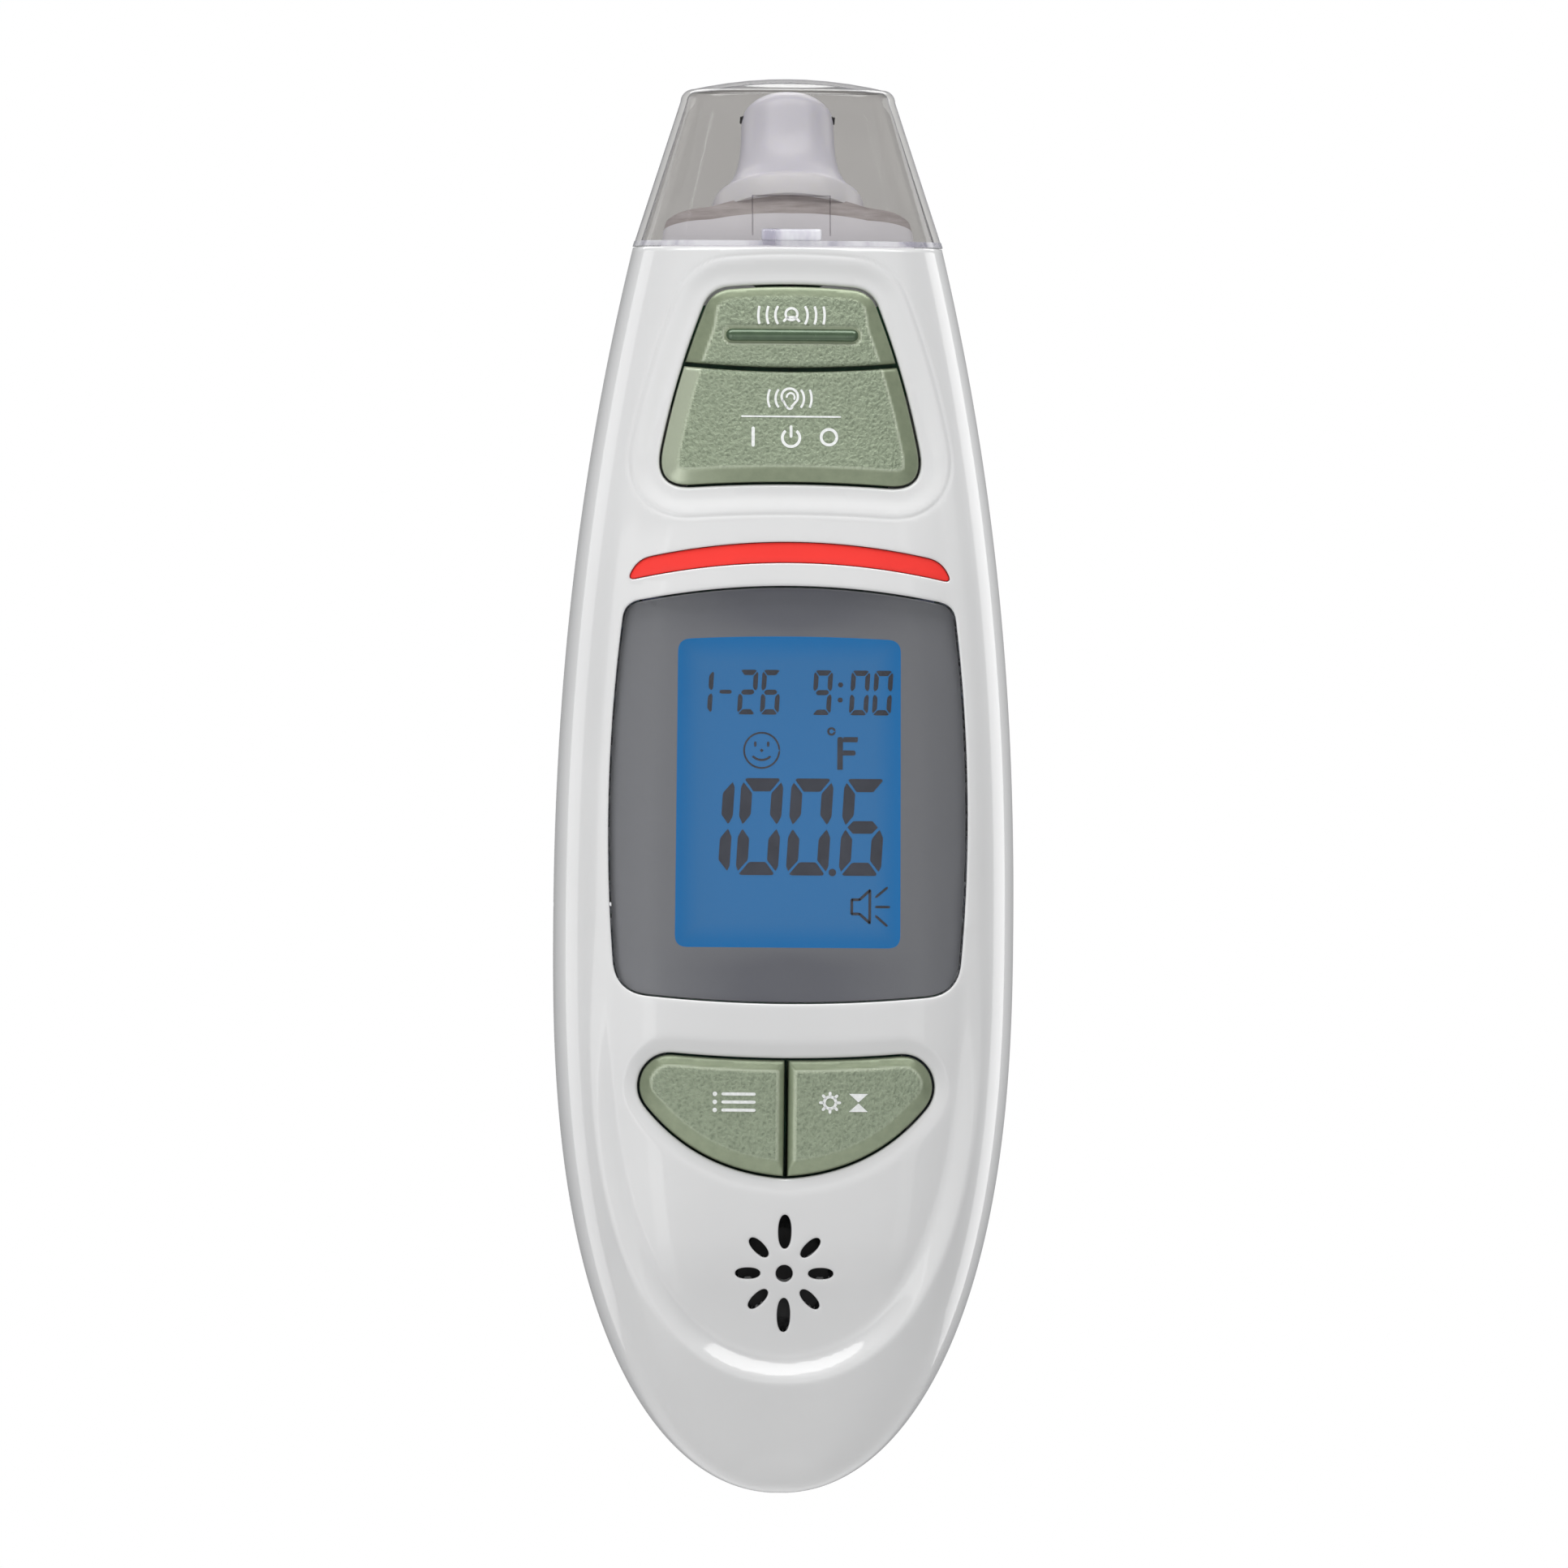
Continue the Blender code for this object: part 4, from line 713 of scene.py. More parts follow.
def glossed(n, below, ior, roughness):
    """Adds a reflection on outward faces and leaves the way free for the light that passes."""
    rough = n.spread(n.noise(300, 2.0), roughness * 0.8, roughness * 1.2)
    gloss = n.out("ShaderNodeBsdfGlossy", "BSDF", {"Roughness": rough})
    outward = 1.0 - n.out("ShaderNodeNewGeometry", "Backfacing")
    share = n.out("ShaderNodeFresnel", "Fac", {"IOR": ior}) * outward * (1.0 - n.light("Is Shadow Ray"))
    n.feed(n.surface, n.layered(share, below, gloss))
    return n.material


def lens_material():
    """Clear acrylic over the display: see-through with a gloss that grows towards grazing angles."""
    n = Nodes("lens_clear")
    clear = n.out("ShaderNodeBsdfTransparent", "BSDF", {"Color": (0.95, 0.955, 0.965)})
    return glossed(n, clear, 1.28, 0.20)


def border_material():
    """Metallic grey print behind the lens, darker in the middle of its lower and upper band."""
    n = Nodes("lens_print")
    x, _, z = n.parts(n.place)
    band = ((abs(z - LCD_Z * M) - 0.0155) * (1 / 0.003)).most(0.0).least(1.0)
    dark = (1.0 - (abs(x) * (1 / 0.014)).least(1.0)) * band
    tone = dark + n.spread(n.noise(60, 4.0), -0.06, 0.06)
    colour = n.ramp(tone, (0.0, (0.160, 0.160, 0.164)), (0.7, (0.112, 0.112, 0.124)))
    n.set(Base_Color=colour, Metallic=0.2, Roughness=0.5)
    n.bump(n.noise(900, 2.0), 0.000004, 0.3)
    return n.material


def lcd_material():
    """Blue backlit glass with a deeper glow along its edges."""
    n = Nodes("lcd_blue")
    x, _, z = n.parts(n.place)
    edge = (0.0119 - abs(x)).least(0.0165 - abs(z - LCD_Z * M)) * 330.0
    inner = n.ramp(n.noise(45, 3.0), (0.3, (0.026, 0.137, 0.318)), (0.7, (0.031, 0.150, 0.342)))
    outer, near, far = (0.000, 0.140, 0.385), (0.002, 0.130, 0.350), (0.030, 0.145, 0.330)
    glow = n.ramp(edge, (0.0, outer), (0.25, near), (0.9, far))
    n.set(Base_Color=(0.008, 0.03, 0.07), Emission_Color=n.mixed(0.8, inner, glow), Emission_Strength=0.95)
    n.set(Roughness=0.4, Specular_IOR_Level=0.1)
    n.bump(n.noise(2500, 2.0), 0.000004, 0.3)
    return n.material


def red_material():
    """Red translucent plastic, faintly lit from behind."""
    n = Nodes("red_window")
    colour = n.ramp(n.noise(70, 3.0), (0.3, (0.76, 0.028, 0.021)), (0.7, (0.83, 0.036, 0.027)))
    n.set(Base_Color=colour, Emission_Color=colour, Emission_Strength=0.08, Roughness=0.45)
    n.set(Specular_IOR_Level=0.3)
    n.bump(n.noise(1800, 2.0), 0.000006, 0.4)
    return n.material


def on_deck(n):
    """x of a point, and how far it is above the tilted plane that the probe stands on."""
    x, y, z = n.parts(n.place)
    return x, z + (y - PROBE_BASE.y * M) * math.tan(PROBE_TILT) - PROBE_BASE.z * M


def probe_material():
    """Milky plastic, whiter on the skirt, with painted shade as a darker band where the bell flares up from
    the skirt.
    """
    n = Nodes("probe_milky")
    height = on_deck(n)[1] * (1 / 0.0045) + n.spread(n.noise(80, 3.0), -0.15, 0.15)
    # The dip to 0.80 near 0.68 is painted shade at the foot of the bell's flare.
    colour = n.ramp(height, (0.0, (0.92, 0.905, 0.95)), (0.50, (0.90, 0.885, 0.94)),
                    (0.68, (0.80, 0.785, 0.88)), (1.0, (0.85, 0.835, 0.93)))
    n.set(Base_Color=colour, Subsurface_Weight=0.25, Roughness=0.35, Coat_Weight=0.2)
    n.set(Subsurface_Radius=(0.002, 0.002, 0.0025))
    n.bump(n.noise(1400, 2.0), 0.000008, 0.4)
    return n.material


def collar_material():
    """White collar whose upper edge carries a streaked, greyish-brown band."""
    n = Nodes("collar_banded")
    x, height = on_deck(n)
    shoulder = ((abs(x) - COLLAR_SHOULDER * M) * 0.2).most(0.0)
    below = shoulder - (height + COLLAR_DROP * M)
    reach = (1.0 - abs(x) * (0.45 / 0.0128)) * 0.0021
    streaks = n.ramp(n.noise(700, 5.0, 0.7, stretch=(0.25, 0.25, 2.5)),
                     (0.3, (0.40, 0.35, 0.35)), (0.7, (0.66, 0.61, 0.61)))
    white = n.ramp(n.noise(80, 3.0), (0.3, (0.88, 0.86, 0.92)), (0.7, (0.93, 0.91, 0.96)))
    n.set(Base_Color=n.mixed(reach > below, white, streaks), Roughness=0.4)
    n.bump(n.noise(1500, 2.0), 0.00001, 0.3)
    return n.material


def cell_material():
    """Printed sleeve of a cell: dark with one coloured band."""
    n = Nodes("cell_sleeve")
    feeds = {"Value": n.parts(n.place)[2], "From Min": 0.012, "From Max": 0.062}
    height = n.out("ShaderNodeMapRange", "Result", feeds)
    colour = n.ramp(height, (0.0, (0.05, 0.06, 0.08)), (0.66, (0.06, 0.07, 0.09)),
                    (0.68, (0.55, 0.30, 0.06)), (1.0, (0.50, 0.27, 0.05)))
    n.set(Base_Color=colour, Metallic=0.3, Coat_Weight=0.4)
    n.set(Roughness=n.spread(n.noise(500, 3.0), 0.22, 0.36))
    n.bump(n.noise(1200, 2.0), 0.00001, 0.3)
    return n.material


def shell_material():
    """Gloss-moulded off-white plastic with a faint orange peel."""
    n = Nodes("white_shell")
    colour = n.ramp(n.noise(55, 4.0), (0.3, (0.625, 0.625, 0.624)), (0.7, (0.655, 0.655, 0.653)))
    n.set(Base_Color=colour, Coat_Weight=0.8, Coat_Roughness=0.07)
    n.set(Roughness=n.spread(n.noise(260, 3.0), 0.36, 0.44), Subsurface_Weight=0.05)
    n.set(Subsurface_Radius=(0.0012, 0.0011, 0.001))
    n.bump(n.noise(700, 2.0), 0.000008, 0.35)
    return n.material


BLACK, WHITE = (0, 0, 0), (1, 1, 1)
# The tab's material lays an even painted white sheen over its whole face; the cap's foot uses it too.
CLEAR_TAB = clear_material("clear_tab", (0.97, 0.97, 0.98), 0.1, 0.42, 160)
CLEAR_LINE = clear_material("clear_line", (0.80, 0.79, 0.80), 0.2)
MATERIALS = {
    "shell": shell_material(),
    "key": key_material(),
    "clear": clear_material("clear_cap", (0.782, 0.776, 0.768), 0.6),
    "lens": lens_material(),
    "red_light": red_material(),
    "lcd": lcd_material(),
    "white_inner": varied("white_inner", (0.66, 0.66, 0.67), (0.72, 0.72, 0.73), 0.45),
    "probe": probe_material(),
    "board": varied("board_mask", (0.010, 0.085, 0.035), (0.020, 0.130, 0.055), 0.38, 900, 0.00002, 2500),
    "black_part": varied("black_moulding", (0.012, 0.012, 0.013), (0.030, 0.030, 0.032), 0.5, 400, 0.00002),
    "foam": varied("dark_foam", (0.015, 0.015, 0.016), (0.045, 0.045, 0.045), 0.95, 2500, 0.00012, 3500),
    "steel": varied("plated_steel", (0.48, 0.48, 0.50), (0.66, 0.66, 0.67), 0.28, 500, 0.00001, 3000,
                    stretch=(1, 1, 0.08), Metallic=1.0),
    "gold": varied("gold_plate", (0.72, 0.50, 0.18), (0.85, 0.62, 0.26), 0.22, 400, 0.00001, 2500,
                   Metallic=1.0),
    "cell": cell_material(),
    "wire": varied("wire_sleeve", (0.020, 0.020, 0.022), (0.045, 0.045, 0.048), 0.5, 700, 0.00002),
}
GRIP = varied("key_grip", (0.055, 0.090, 0.050), (0.080, 0.125, 0.070), 0.26, 500, 0.00001, 3000,
              Metallic=0.35, Coat_Weight=0.3)
PRINT = varied("white_print", (0.70, 0.72, 0.70), (0.84, 0.85, 0.84), 0.5, 2600, 0.00001, 4000)
SEGMENT = varied("lcd_segment", (0.018, 0.020, 0.030), (0.030, 0.032, 0.045), 0.5, 600)
BORDER = border_material()


def paint(obj, material):
    obj.data.materials.clear()
    obj.data.materials.append(material)
    return obj


# ------------------------------------------------------------ housings
def build_housings():
    step = 0.5
    holes = [(HIGH_KEYS, 0.55), (LOW_KEYS, 0.5), (grown(LENS, 0.08), 0.32), (grown(LIGHT_BAR, 0.02), 0.2)]
    holes += [(petal, 0.22) for petal in petals()]

    def front(x, z, y):
        return front_extra(x, z)

    def flattened(y):
        return -np.maximum(y - (BACK_FLAT - 0.02), 0)

    def rear(x, z, y):
        return flattened(y) - 0.25 * ease(distance_inside(x, z, LABEL) / 0.5)

    def cover(x, z, y):
        drop = flattened(y)
        for k in range(6):
            ridge = np.exp(-(((z - (40.0 + 2.0 * k)) / 0.42) ** 2)) * ease((7.6 - np.abs(x)) / 0.8)
            drop = drop - 0.42 * ridge
        return drop

    front_shell = shell("front_shell", -1, FOOT, BODY_TOP, holes, front, step, 1.7, "body", [DISH])
    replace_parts(front_shell, "front_housing")
    sinks = [(ellipse(side * HIGH_SCREW_X, HIGH_SCREW_Z, 2.2, 2.2, steps=48), 0.4) for side in (-1, 1)]
    rear_shell = shell("rear_shell", 1, COVER_TOP + 0.4, BODY_TOP, sinks, rear, step * 1.3, 1.8, "body")
    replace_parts(rear_shell, "rear_housing")
    cover_shell = shell("cover_shell", 1, FOOT, COVER_TOP, [], cover, step * 1.3, 1.6, "cover")
    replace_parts(cover_shell, "battery_cover")


def build_lip():
    """Tongue inside the parting line, from one side of the opening round the lower end to the other."""
    zs = np.concatenate([np.linspace(130.5, 20, 60), np.linspace(19, 0.4, 60)])
    right = [(half_width(z), z) for z in zs]
    path = resampled(right + [(-x, z) for x, z in right[::-1]], 1.0, closed=False)
    wide = ease((6.5 - path[:, 1]) / 1.5)[:, None]
    inner, outer = grown(path, 2.75), grown(path, 1.85) * (1 - wide) + grown(path, 0.4) * wide
    rings = []
    for near, far in zip(outer[1:-1], inner[1:-1]):
        low, high = parting_y(near[1]) - 1.1, parting_y(near[1]) + (0.42 if near[1] > 5.5 else 0.06)
        rings.append([Vector((near[0], low, near[1])), Vector((near[0], high, near[1])),
                      Vector((far[0], high, far[1])), Vector((far[0], low, far[1]))])
    paint(from_bmesh("seam_lip", loft(rings), angle=30), MATERIALS["shell"])


def build_inner_housing():
    """Battery tray, rails, screw bosses, and the hooks and tongue of the cover."""
    boxes = [
        ("tray_floor", (-12.6, -1.5, 11.0), (12.6, -0.3, 64.2), "body"),
        ("tray_side_left", (-12.6, -1.0, 11.4), (-11.4, 5.6, 64.0), "body"),
        ("tray_side_right", (11.4, -1.0, 11.4), (12.6, 5.6, 64.0), "body"),
        ("tray_end", (-11.5, -1.0, 11.0), (11.5, 7.0, 12.2), "body"),
        ("tray_bulkhead", (-15.8, -1.35, 62.65), (15.8, 11.7, 64.25), "body"),
        ("tray_bridge", (-22.0, 1.1, 62.75), (22.0, 6.3, 64.15), "body"),
        ("tray_rail_left", (-18.6, 2.0, 24.0), (-12.0, 3.2, 60.0), "body"),
        ("tray_rail_right", (12.0, 2.0, 24.0), (18.6, 3.2, 60.0), "body"),
        ("cover_tongue", (-4.0, 12.5, 55.0), (4.0, 13.3, 65.6), "cover"),
        ("cover_tongue_root", (-4.0, 12.6, 55.0), (4.0, 14.8, 58.0), "cover"),
    ]
    hooks = ((25.0, 31.0, 16.4, 19.6), (46.0, 56.0, 17.8, 22.6))
    boss = [(1.2, 0.0), (2.3, 0.0), (2.3, 12.4), (1.2, 12.4)]
    sink = [(1.2, 0.0), (3.0, 0.0), (3.0, -7.0), (2.2, -7.0), (2.2, -3.4), (1.2, -3.4)]
    made = []
    for side, tag in ((-1, "left"), (1, "right")):
        for number, (low, high, inner, outer) in enumerate(hooks):
            near, far = sorted((side * inner, side * outer))
            boxes.append((f"cover_hook_{tag}_{number}", (near, 0.5, low), (far, 1.7, high), "cover"))
        for name, profile, place in (("low", boss, (side * LOW_SCREW_X, 1.7, LOW_SCREW_Z)),
                                     ("high", sink, (side * HIGH_SCREW_X, 1.6, HIGH_SCREW_Z))):
            made.append(turned(f"screw_boss_{name}_{tag}", profile, place, FORWARD))
    for name, low, high, body in boxes:
        made.append(rounded_box(name, low, high, body, 0.2))
    for obj in made:
        paint(obj, MATERIALS["shell"])


# ------------------------------------------------------------ keys
def chamfered(x, z, outline, width, depth):
    """Drop under the front's own surface of a key top with a chamfer."""
    inside = distance_inside(x, z, outline)
    t = np.clip((width - inside) / width, -0.2, 1)
    bend = 0.08  # rounds the plateau's edge
    slope = np.where(t > bend, t, np.where(t < -bend, 0, (t + bend) ** 2 / (4 * bend)))
    return slope * depth - KEY_PROUD


def bar_distance(x, z):
    return np.hypot(np.clip(np.abs(x - HEAD_BAR_X) - HEAD_BAR_HALF, 0, None), z - HEAD_BAR_Z)


def high_chamfer(z):
    """Width of the upper keys' chamfer."""
    return 1.25 + 0.65 * ease((126.5 - z) / 4)


def low_chamfer(z):
    """Width of the lower keys' chamfer."""
    return 1.35 + 0.45 * ease((44.0 - z) / 3)


def high_key_top(x, z):
    drop = chamfered(x, z, HIGH_KEYS, high_chamfer(z), 0.95 - 0.55 * ease((z - 124.5) / 1.8))
    split = np.abs(z - split_line(x)) - SPLIT_GAP / 2
    soft = np.clip(0.45 - split, 0, 0.45)
    drop = drop + 0.45 - np.sqrt(0.45**2 - soft**2)
    return key_surface(x, z) + drop + 0.22 * ease((1.15 - bar_distance(x, z)) / 0.3)


def low_key_top(x, z):
    drop = chamfered(x, z, LOW_KEYS, low_chamfer(z), 0.85)
    gap = np.abs(x) - SPLIT_GAP / 2
    t = np.clip((0.85 - gap) / 0.85, 0, 1)
    soft = np.clip(0.25 - gap, 0, 0.25)
    return key_surface(x, z) + np.maximum(drop, 0.5 * t - KEY_PROUD) + 0.25 - np.sqrt(0.25**2 - soft**2)


def crossing(inner, outer, keeps):
    near, far = np.array(inner, float), np.array(outer, float)
    for _ in range(24):
        middle = (near + far) / 2
        if keeps(*middle):
            near = middle
        else:
            far = middle
    return near


def cut_outline(outline, keeps):
    """The run of an outline on the kept side, ended on the cutting line."""
    points = [tuple(p) for p in outline]
    first = next(i for i in range(len(points)) if keeps(*points[i]) and not keeps(*points[i - 1]))
    run = points[first:] + points[:first]
    kept = [p for p in run if keeps(*p)]
    start, end = crossing(kept[0], run[-1], keeps), crossing(kept[-1], run[len(kept)], keeps)
    return [tuple(start)] + kept + [tuple(end)]


def split_line(x):
    return SPLIT_Z - SPLIT_SAG * (1 - (x / 12) ** 2)


def build_keys():
    high, low = grown(HIGH_KEYS, -KEY_GAP), grown(LOW_KEYS, -KEY_GAP)
    half = SPLIT_GAP / 2
    ear = cut_outline(high, lambda x, z: z < split_line(x) - half)
    head = cut_outline(high, lambda x, z: z > split_line(x) + half)
    for outline, side in ((ear, -1), (head, 1)):
        xs = np.linspace(outline[-1][0], outline[0][0], 90)[1:-1]
        outline.extend((x, split_line(x) + side * half) for x in xs)
    right = cut_outline(low, lambda x, z: x > half)
    zs = np.linspace(right[-1][1], right[0][1], 44)[1:-1]
    right.extend((half, z) for z in zs)
    left = [(-x, z) for x, z in reversed(right)]
    shapes = {
        "ear_key": (ear, high_key_top, "ear_button"), "head_key": (head, high_key_top, "head_button"),
        "memory_key": (left, low_key_top, "memory_button"), "set_key": (right, low_key_top, "set_button"),
    }
    spacing = 0.24
    for node, (outline, surface, body) in shapes.items():
        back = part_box(node)[1].y / M - 1.2
        obj = plate_object(node + "_cap", [np.array(outline)], surface, spacing, 0, body, edge=0.22,
                           flat_back=back)
        x, _, z = np.array([v.co for v in obj.data.vertices]).T / M
        if surface is low_key_top:
            share = ease((distance_inside(x, z, LOW_KEYS) - low_chamfer(z) + 0.2) / 0.4)
            share = np.minimum(share, ease((np.abs(x) - 0.75) / 0.4))
        else:
            share = ease((distance_inside(x, z, HIGH_KEYS) - high_chamfer(z) + 0.2) / 0.4)
            share = share * (1 - ease((1.1 - bar_distance(x, z)) / 0.2))
        plateau = obj.data.attributes.new("plateau", "FLOAT", "POINT")
        plateau.data.foreach_set("value", share.astype(np.float32))
        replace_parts(paint(obj, MATERIALS["key"]), node)
    grip = bar(HEAD_BAR_X - HEAD_BAR_HALF, HEAD_BAR_Z, HEAD_BAR_X + HEAD_BAR_HALF, HEAD_BAR_Z, 1.35)
    ridge = plate_object("head_key_bar", [resampled(grip, 0.2)], lambda x, z: key_surface(x, z) - 0.5, 0.3,
                         0.7, "head_button", edge=0.6)
    paint(ridge, GRIP)


def build_pictograms():
    """Generic signs where the keys are printed: a head, an ear, power, stored readings and settings."""
    z = 124.45
    head = [arc(0, z + 0.12, 0.62, 0, 360, 0.26, 48), arc(0, z - 1.15, 0.95, 28, 152, 0.26)]
    for radius in (1.7, 2.6, 3.5):
        half = math.degrees(math.asin(0.95 / radius))
        head += [arc(0, z, radius, middle - half, middle + half, 0.26) for middle in (0, 180)]
    z = 115.65
    ear = [arc(-0.15, z + 0.2, 0.86, -35, 215, 0.25), arc(-0.05, z + 0.15, 0.42, -40, 190, 0.2),
           bar(0.52, z - 0.32, 0.05, z - 0.85, 0.24), arc(-0.15, z - 0.8, 0.3, 180, 350, 0.22),
           bar(-0.86, z - 0.2, -0.5, z - 0.85, 0.22)]
    for radius in (1.5, 2.3):
        half = math.degrees(math.asin(0.95 / radius))
        ear += [arc(-0.15, z, radius, middle - half, middle + half, 0.24) for middle in (0, 180)]
    z = 111.6
    power = [bar(-5.2, 113.75, 5.2, 113.75, 0.17), arc(0, z - 0.1, 0.92, 128, 412, 0.3, 48),
             bar(0, z + 0.05, 0, z + 1.08, 0.3), bar(-4.0, z - 0.9, -4.0, z + 0.9, 0.34),
             arc(4.0, z, 0.82, 0, 360, 0.3, 48)]
    memory, settings, z = [], [], 41.45
    for k in range(3):
        memory += [ellipse(-7.55, z + 0.85 * (k - 1), 0.24, 0.24, steps=20)]
        memory += [bar(-6.7, z + 0.85 * (k - 1), -3.4, z + 0.85 * (k - 1), 0.32)]
    settings.append(arc(4.6, z, 0.62, 0, 360, 0.3, 48))
    for k in range(8):
        a = math.pi / 4 * k
        c, s = math.cos(a), math.sin(a)
        settings.append(bar(4.6 + 0.72 * c, z + 0.72 * s, 4.6 + 1.02 * c, z + 1.02 * s, 0.3))
    settings.append(np.array([(6.6, z - 0.95), (8.6, z - 0.95), (7.6, z - 0.05)]))
    settings.append(np.array([(6.6, z + 0.95), (7.6, z + 0.05), (8.6, z + 0.95)]))
    sets = [
        ("head_sign", head, high_key_top, "head_button"),
        ("ear_sign", ear + power, high_key_top, "ear_button"),
        ("memory_sign", memory, low_key_top, "memory_button"),
        ("set_sign", settings, low_key_top, "set_button"),
    ]
    for name, outlines, surface, body in sets:
        def raised(x, z, below=surface):
            return below(x, z) - 0.035
        outlines = anticlockwise(outlines, 0.12)
        paint(plate_object(name, outlines, raised, 0.3, 0.12, body), PRINT)


def anticlockwise(outlines, spacing):
    """The outlines with even points, all in one sense."""
    result = []
    for outline in outlines:
        x, z = np.asarray(outline).T
        area = np.sum(x * np.roll(z, -1) - np.roll(x, -1) * z)
        result.append(resampled(outline if area > 0 else outline[::-1], spacing))
    return result


# ------------------------------------------------------------ display and alert light
def digit(text, x, z, width, height, stroke):
    """Outlines of one slanted seven-segment digit with its lower left corner at x, z."""
    lit = {"0": "abcdef", "1": "bc", "2": "abged", "6": "afgedc", "9": "abcdfg"}[text]
    s, w, h, m = stroke, width, height, height / 2
    side = [(0, m + 0.9 * s), (0.35 * s, m + 0.17 * s), (s, m + 1.03 * s), (s, h - 1.3 * s),
            (0.2 * s, h - 0.35 * s), (0, h - 0.8 * s)]
    top = [(0.3 * s, h - 0.12 * s), (0.45 * s, h), (w - 0.45 * s, h), (w - 0.3 * s, h - 0.12 * s),
           (w - 1.1 * s, h - 1.15 * s), (1.1 * s, h - 1.15 * s)]
    middle = [(0.5 * s, m), (s, m + 0.55 * s), (w - s, m + 0.55 * s), (w - 0.5 * s, m), (w - s, m - 0.55 * s),
              (s, m - 0.55 * s)]
    flip_x, flip_z = [lambda u, v: (w - u, v)], [lambda u, v: (u, h - v)]
    shapes = {"a": (top, []), "b": (side, flip_x), "c": (side, flip_x + flip_z), "d": (top, flip_z),
              "e": (side, flip_z), "f": (side, []), "g": (middle, [])}
    outlines = []
    for name in lit:
        points, flips = shapes[name]
        for flip in flips:
            points = [flip(*p) for p in points]
        outlines.append(np.array([(x + u + 0.057 * v, z + v) for u, v in points]))
    return outlines


def display_signs():
    """Everything the display shows: date, time, temperature, unit, face and sound sign."""
    shapes = []
    for text, x in (("1", -10.57), ("0", -5.45), ("0", -0.15), ("6", 5.43)):
        shapes += digit(text, x, 65.36, 4.46, 10.24, 1.22)
    for text, x in (("1", -10.1), ("2", -5.42), ("6", -3.01), ("9", 2.46), ("0", 6.39), ("0", 8.82)):
        shapes += digit(text, x, 82.3, 2.0, 4.73, 0.5)
    shapes += [bar(-7.1, 84.68, -6.15, 84.68, 0.42), ellipse(4.79, 65.7, 0.42, 0.42, steps=20)]
    shapes += [ellipse(5.51 - 0.03 * k, z, 0.3, 0.3, steps=16) for k, z in enumerate((85.5, 83.9))]
    shapes += [arc(-2.77, 78.53, 1.86, 0, 360, 0.2, 60), arc(-2.77, 78.8, 1.29, 221, 319, 0.24)]
    shapes += [ellipse(-2.77 + x, 78.53 + z, w, h, steps=16)
               for x, z, w, h in ((-0.68, 0.66, 0.15, 0.36), (0.68, 0.66, 0.15, 0.36), (0, 0, 0.21, 0.21))]
    shapes += [arc(4.58, 80.58, 0.36, 0, 360, 0.22, 32)]
    for x0, z0, x1, z1 in ((5.21, 76.54, 5.81, 80.0), (5.81, 79.45, 7.38, 80.0), (5.81, 78.05, 7.15, 78.6)):
        shapes += [np.array([(x0, z0), (x1, z0), (x1, z1), (x0, z1)])]
    corners = [(6.87, 61.35), (7.7, 61.35), (8.77, 60.4), (8.77, 63.85), (7.7, 62.85), (6.87, 62.85)]
    shapes += [bar(*a, *b, 0.3) for a, b in zip(corners, corners[1:] + corners[:1])]
    rays = ((9.4, 63.13, 10.6, 64.15), (9.4, 62.1, 10.85, 62.1), (9.4, 61.15, 10.6, 60.1))
    shapes += [bar(*ray, 0.27) for ray in rays]
    return shapes


def build_display():
    def lens_top(x, z):
        return key_surface(x, z) + 0.02

    def border_top(x, z):
        return key_surface(x, z) + 1.0

    lens = plate_object("lens_cover", [LENS], lens_top, 0.8, 0.95, edge=0.35)
    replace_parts(paint(lens, MATERIALS["lens"]), "display_lens")
    border = plate_object("lens_border", [grown(LENS, -0.12)], border_top, 0.8, 0.15,
                          holes=[WINDOW[::-1]])
    paint(border, BORDER)
    low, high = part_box("lcd_glass")
    front = low.y / M
    lcd = box_outline(low.x / M, low.z / M, high.x / M, high.z / M, 0.5)
    panel = plate_object("lcd_panel", [lcd], lambda x, z: x * 0 + front, 3.0, 2.0)
    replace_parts(paint(panel, MATERIALS["lcd"]), "lcd_glass")
    shapes = anticlockwise(display_signs(), 0.3)
    segments = plate_object("lcd_segments", shapes, lambda x, z: x * 0 + front - 0.05, 1.5, 0.12)
    paint(segments, SEGMENT)


def build_light_bar():
    def window_top(x, z):
        return key_surface(x, z) + 0.05

    outline = grown(LIGHT_BAR, -0.05)
    obj = plate_object("alert_window", [outline], window_top, 0.5, 2.6, edge=0.2)
    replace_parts(paint(obj, MATERIALS["red_light"]), "fever_light_window")


# ------------------------------------------------------------ probe and cap
def oval(half_x, half_y, y, count, power):
    """Evenly spaced points of a superellipse about x = 0 and y."""
    t = np.linspace(0, 2 * math.pi, 2001)
    c, s = np.cos(t), np.sin(t)
    xs = half_x * np.sign(c) * np.abs(c) ** (2 / power)
    ys = y + half_y * np.sign(s) * np.abs(s) ** (2 / power)
    run = np.concatenate([[0], np.cumsum(np.hypot(np.diff(xs), np.diff(ys)))])
    at = np.linspace(0, run[-1], count, endpoint=False)
    return np.stack([np.interp(at, run, xs), np.interp(at, run, ys)], 1)


def ring_at(z, *shape):
    return [Vector((x, y, z)) for x, y in oval(*shape)]


def cap_section(z):
    t = (z - Z_SEAM) / (CAP_ROUND_Z - Z_SEAM)
    depth, y = (SEAM_REAR + SEAM_FRONT) / 2 - 0.1, SEAM_SHIFT + (SEAM_REAR - SEAM_FRONT) / 2
    return (SEAM_HALF_WIDTH + (CAP_TOP[0] - SEAM_HALF_WIDTH) * t, depth + (CAP_TOP[1] - depth) * t,
            y + (CAP_TOP[2] - y) * t)


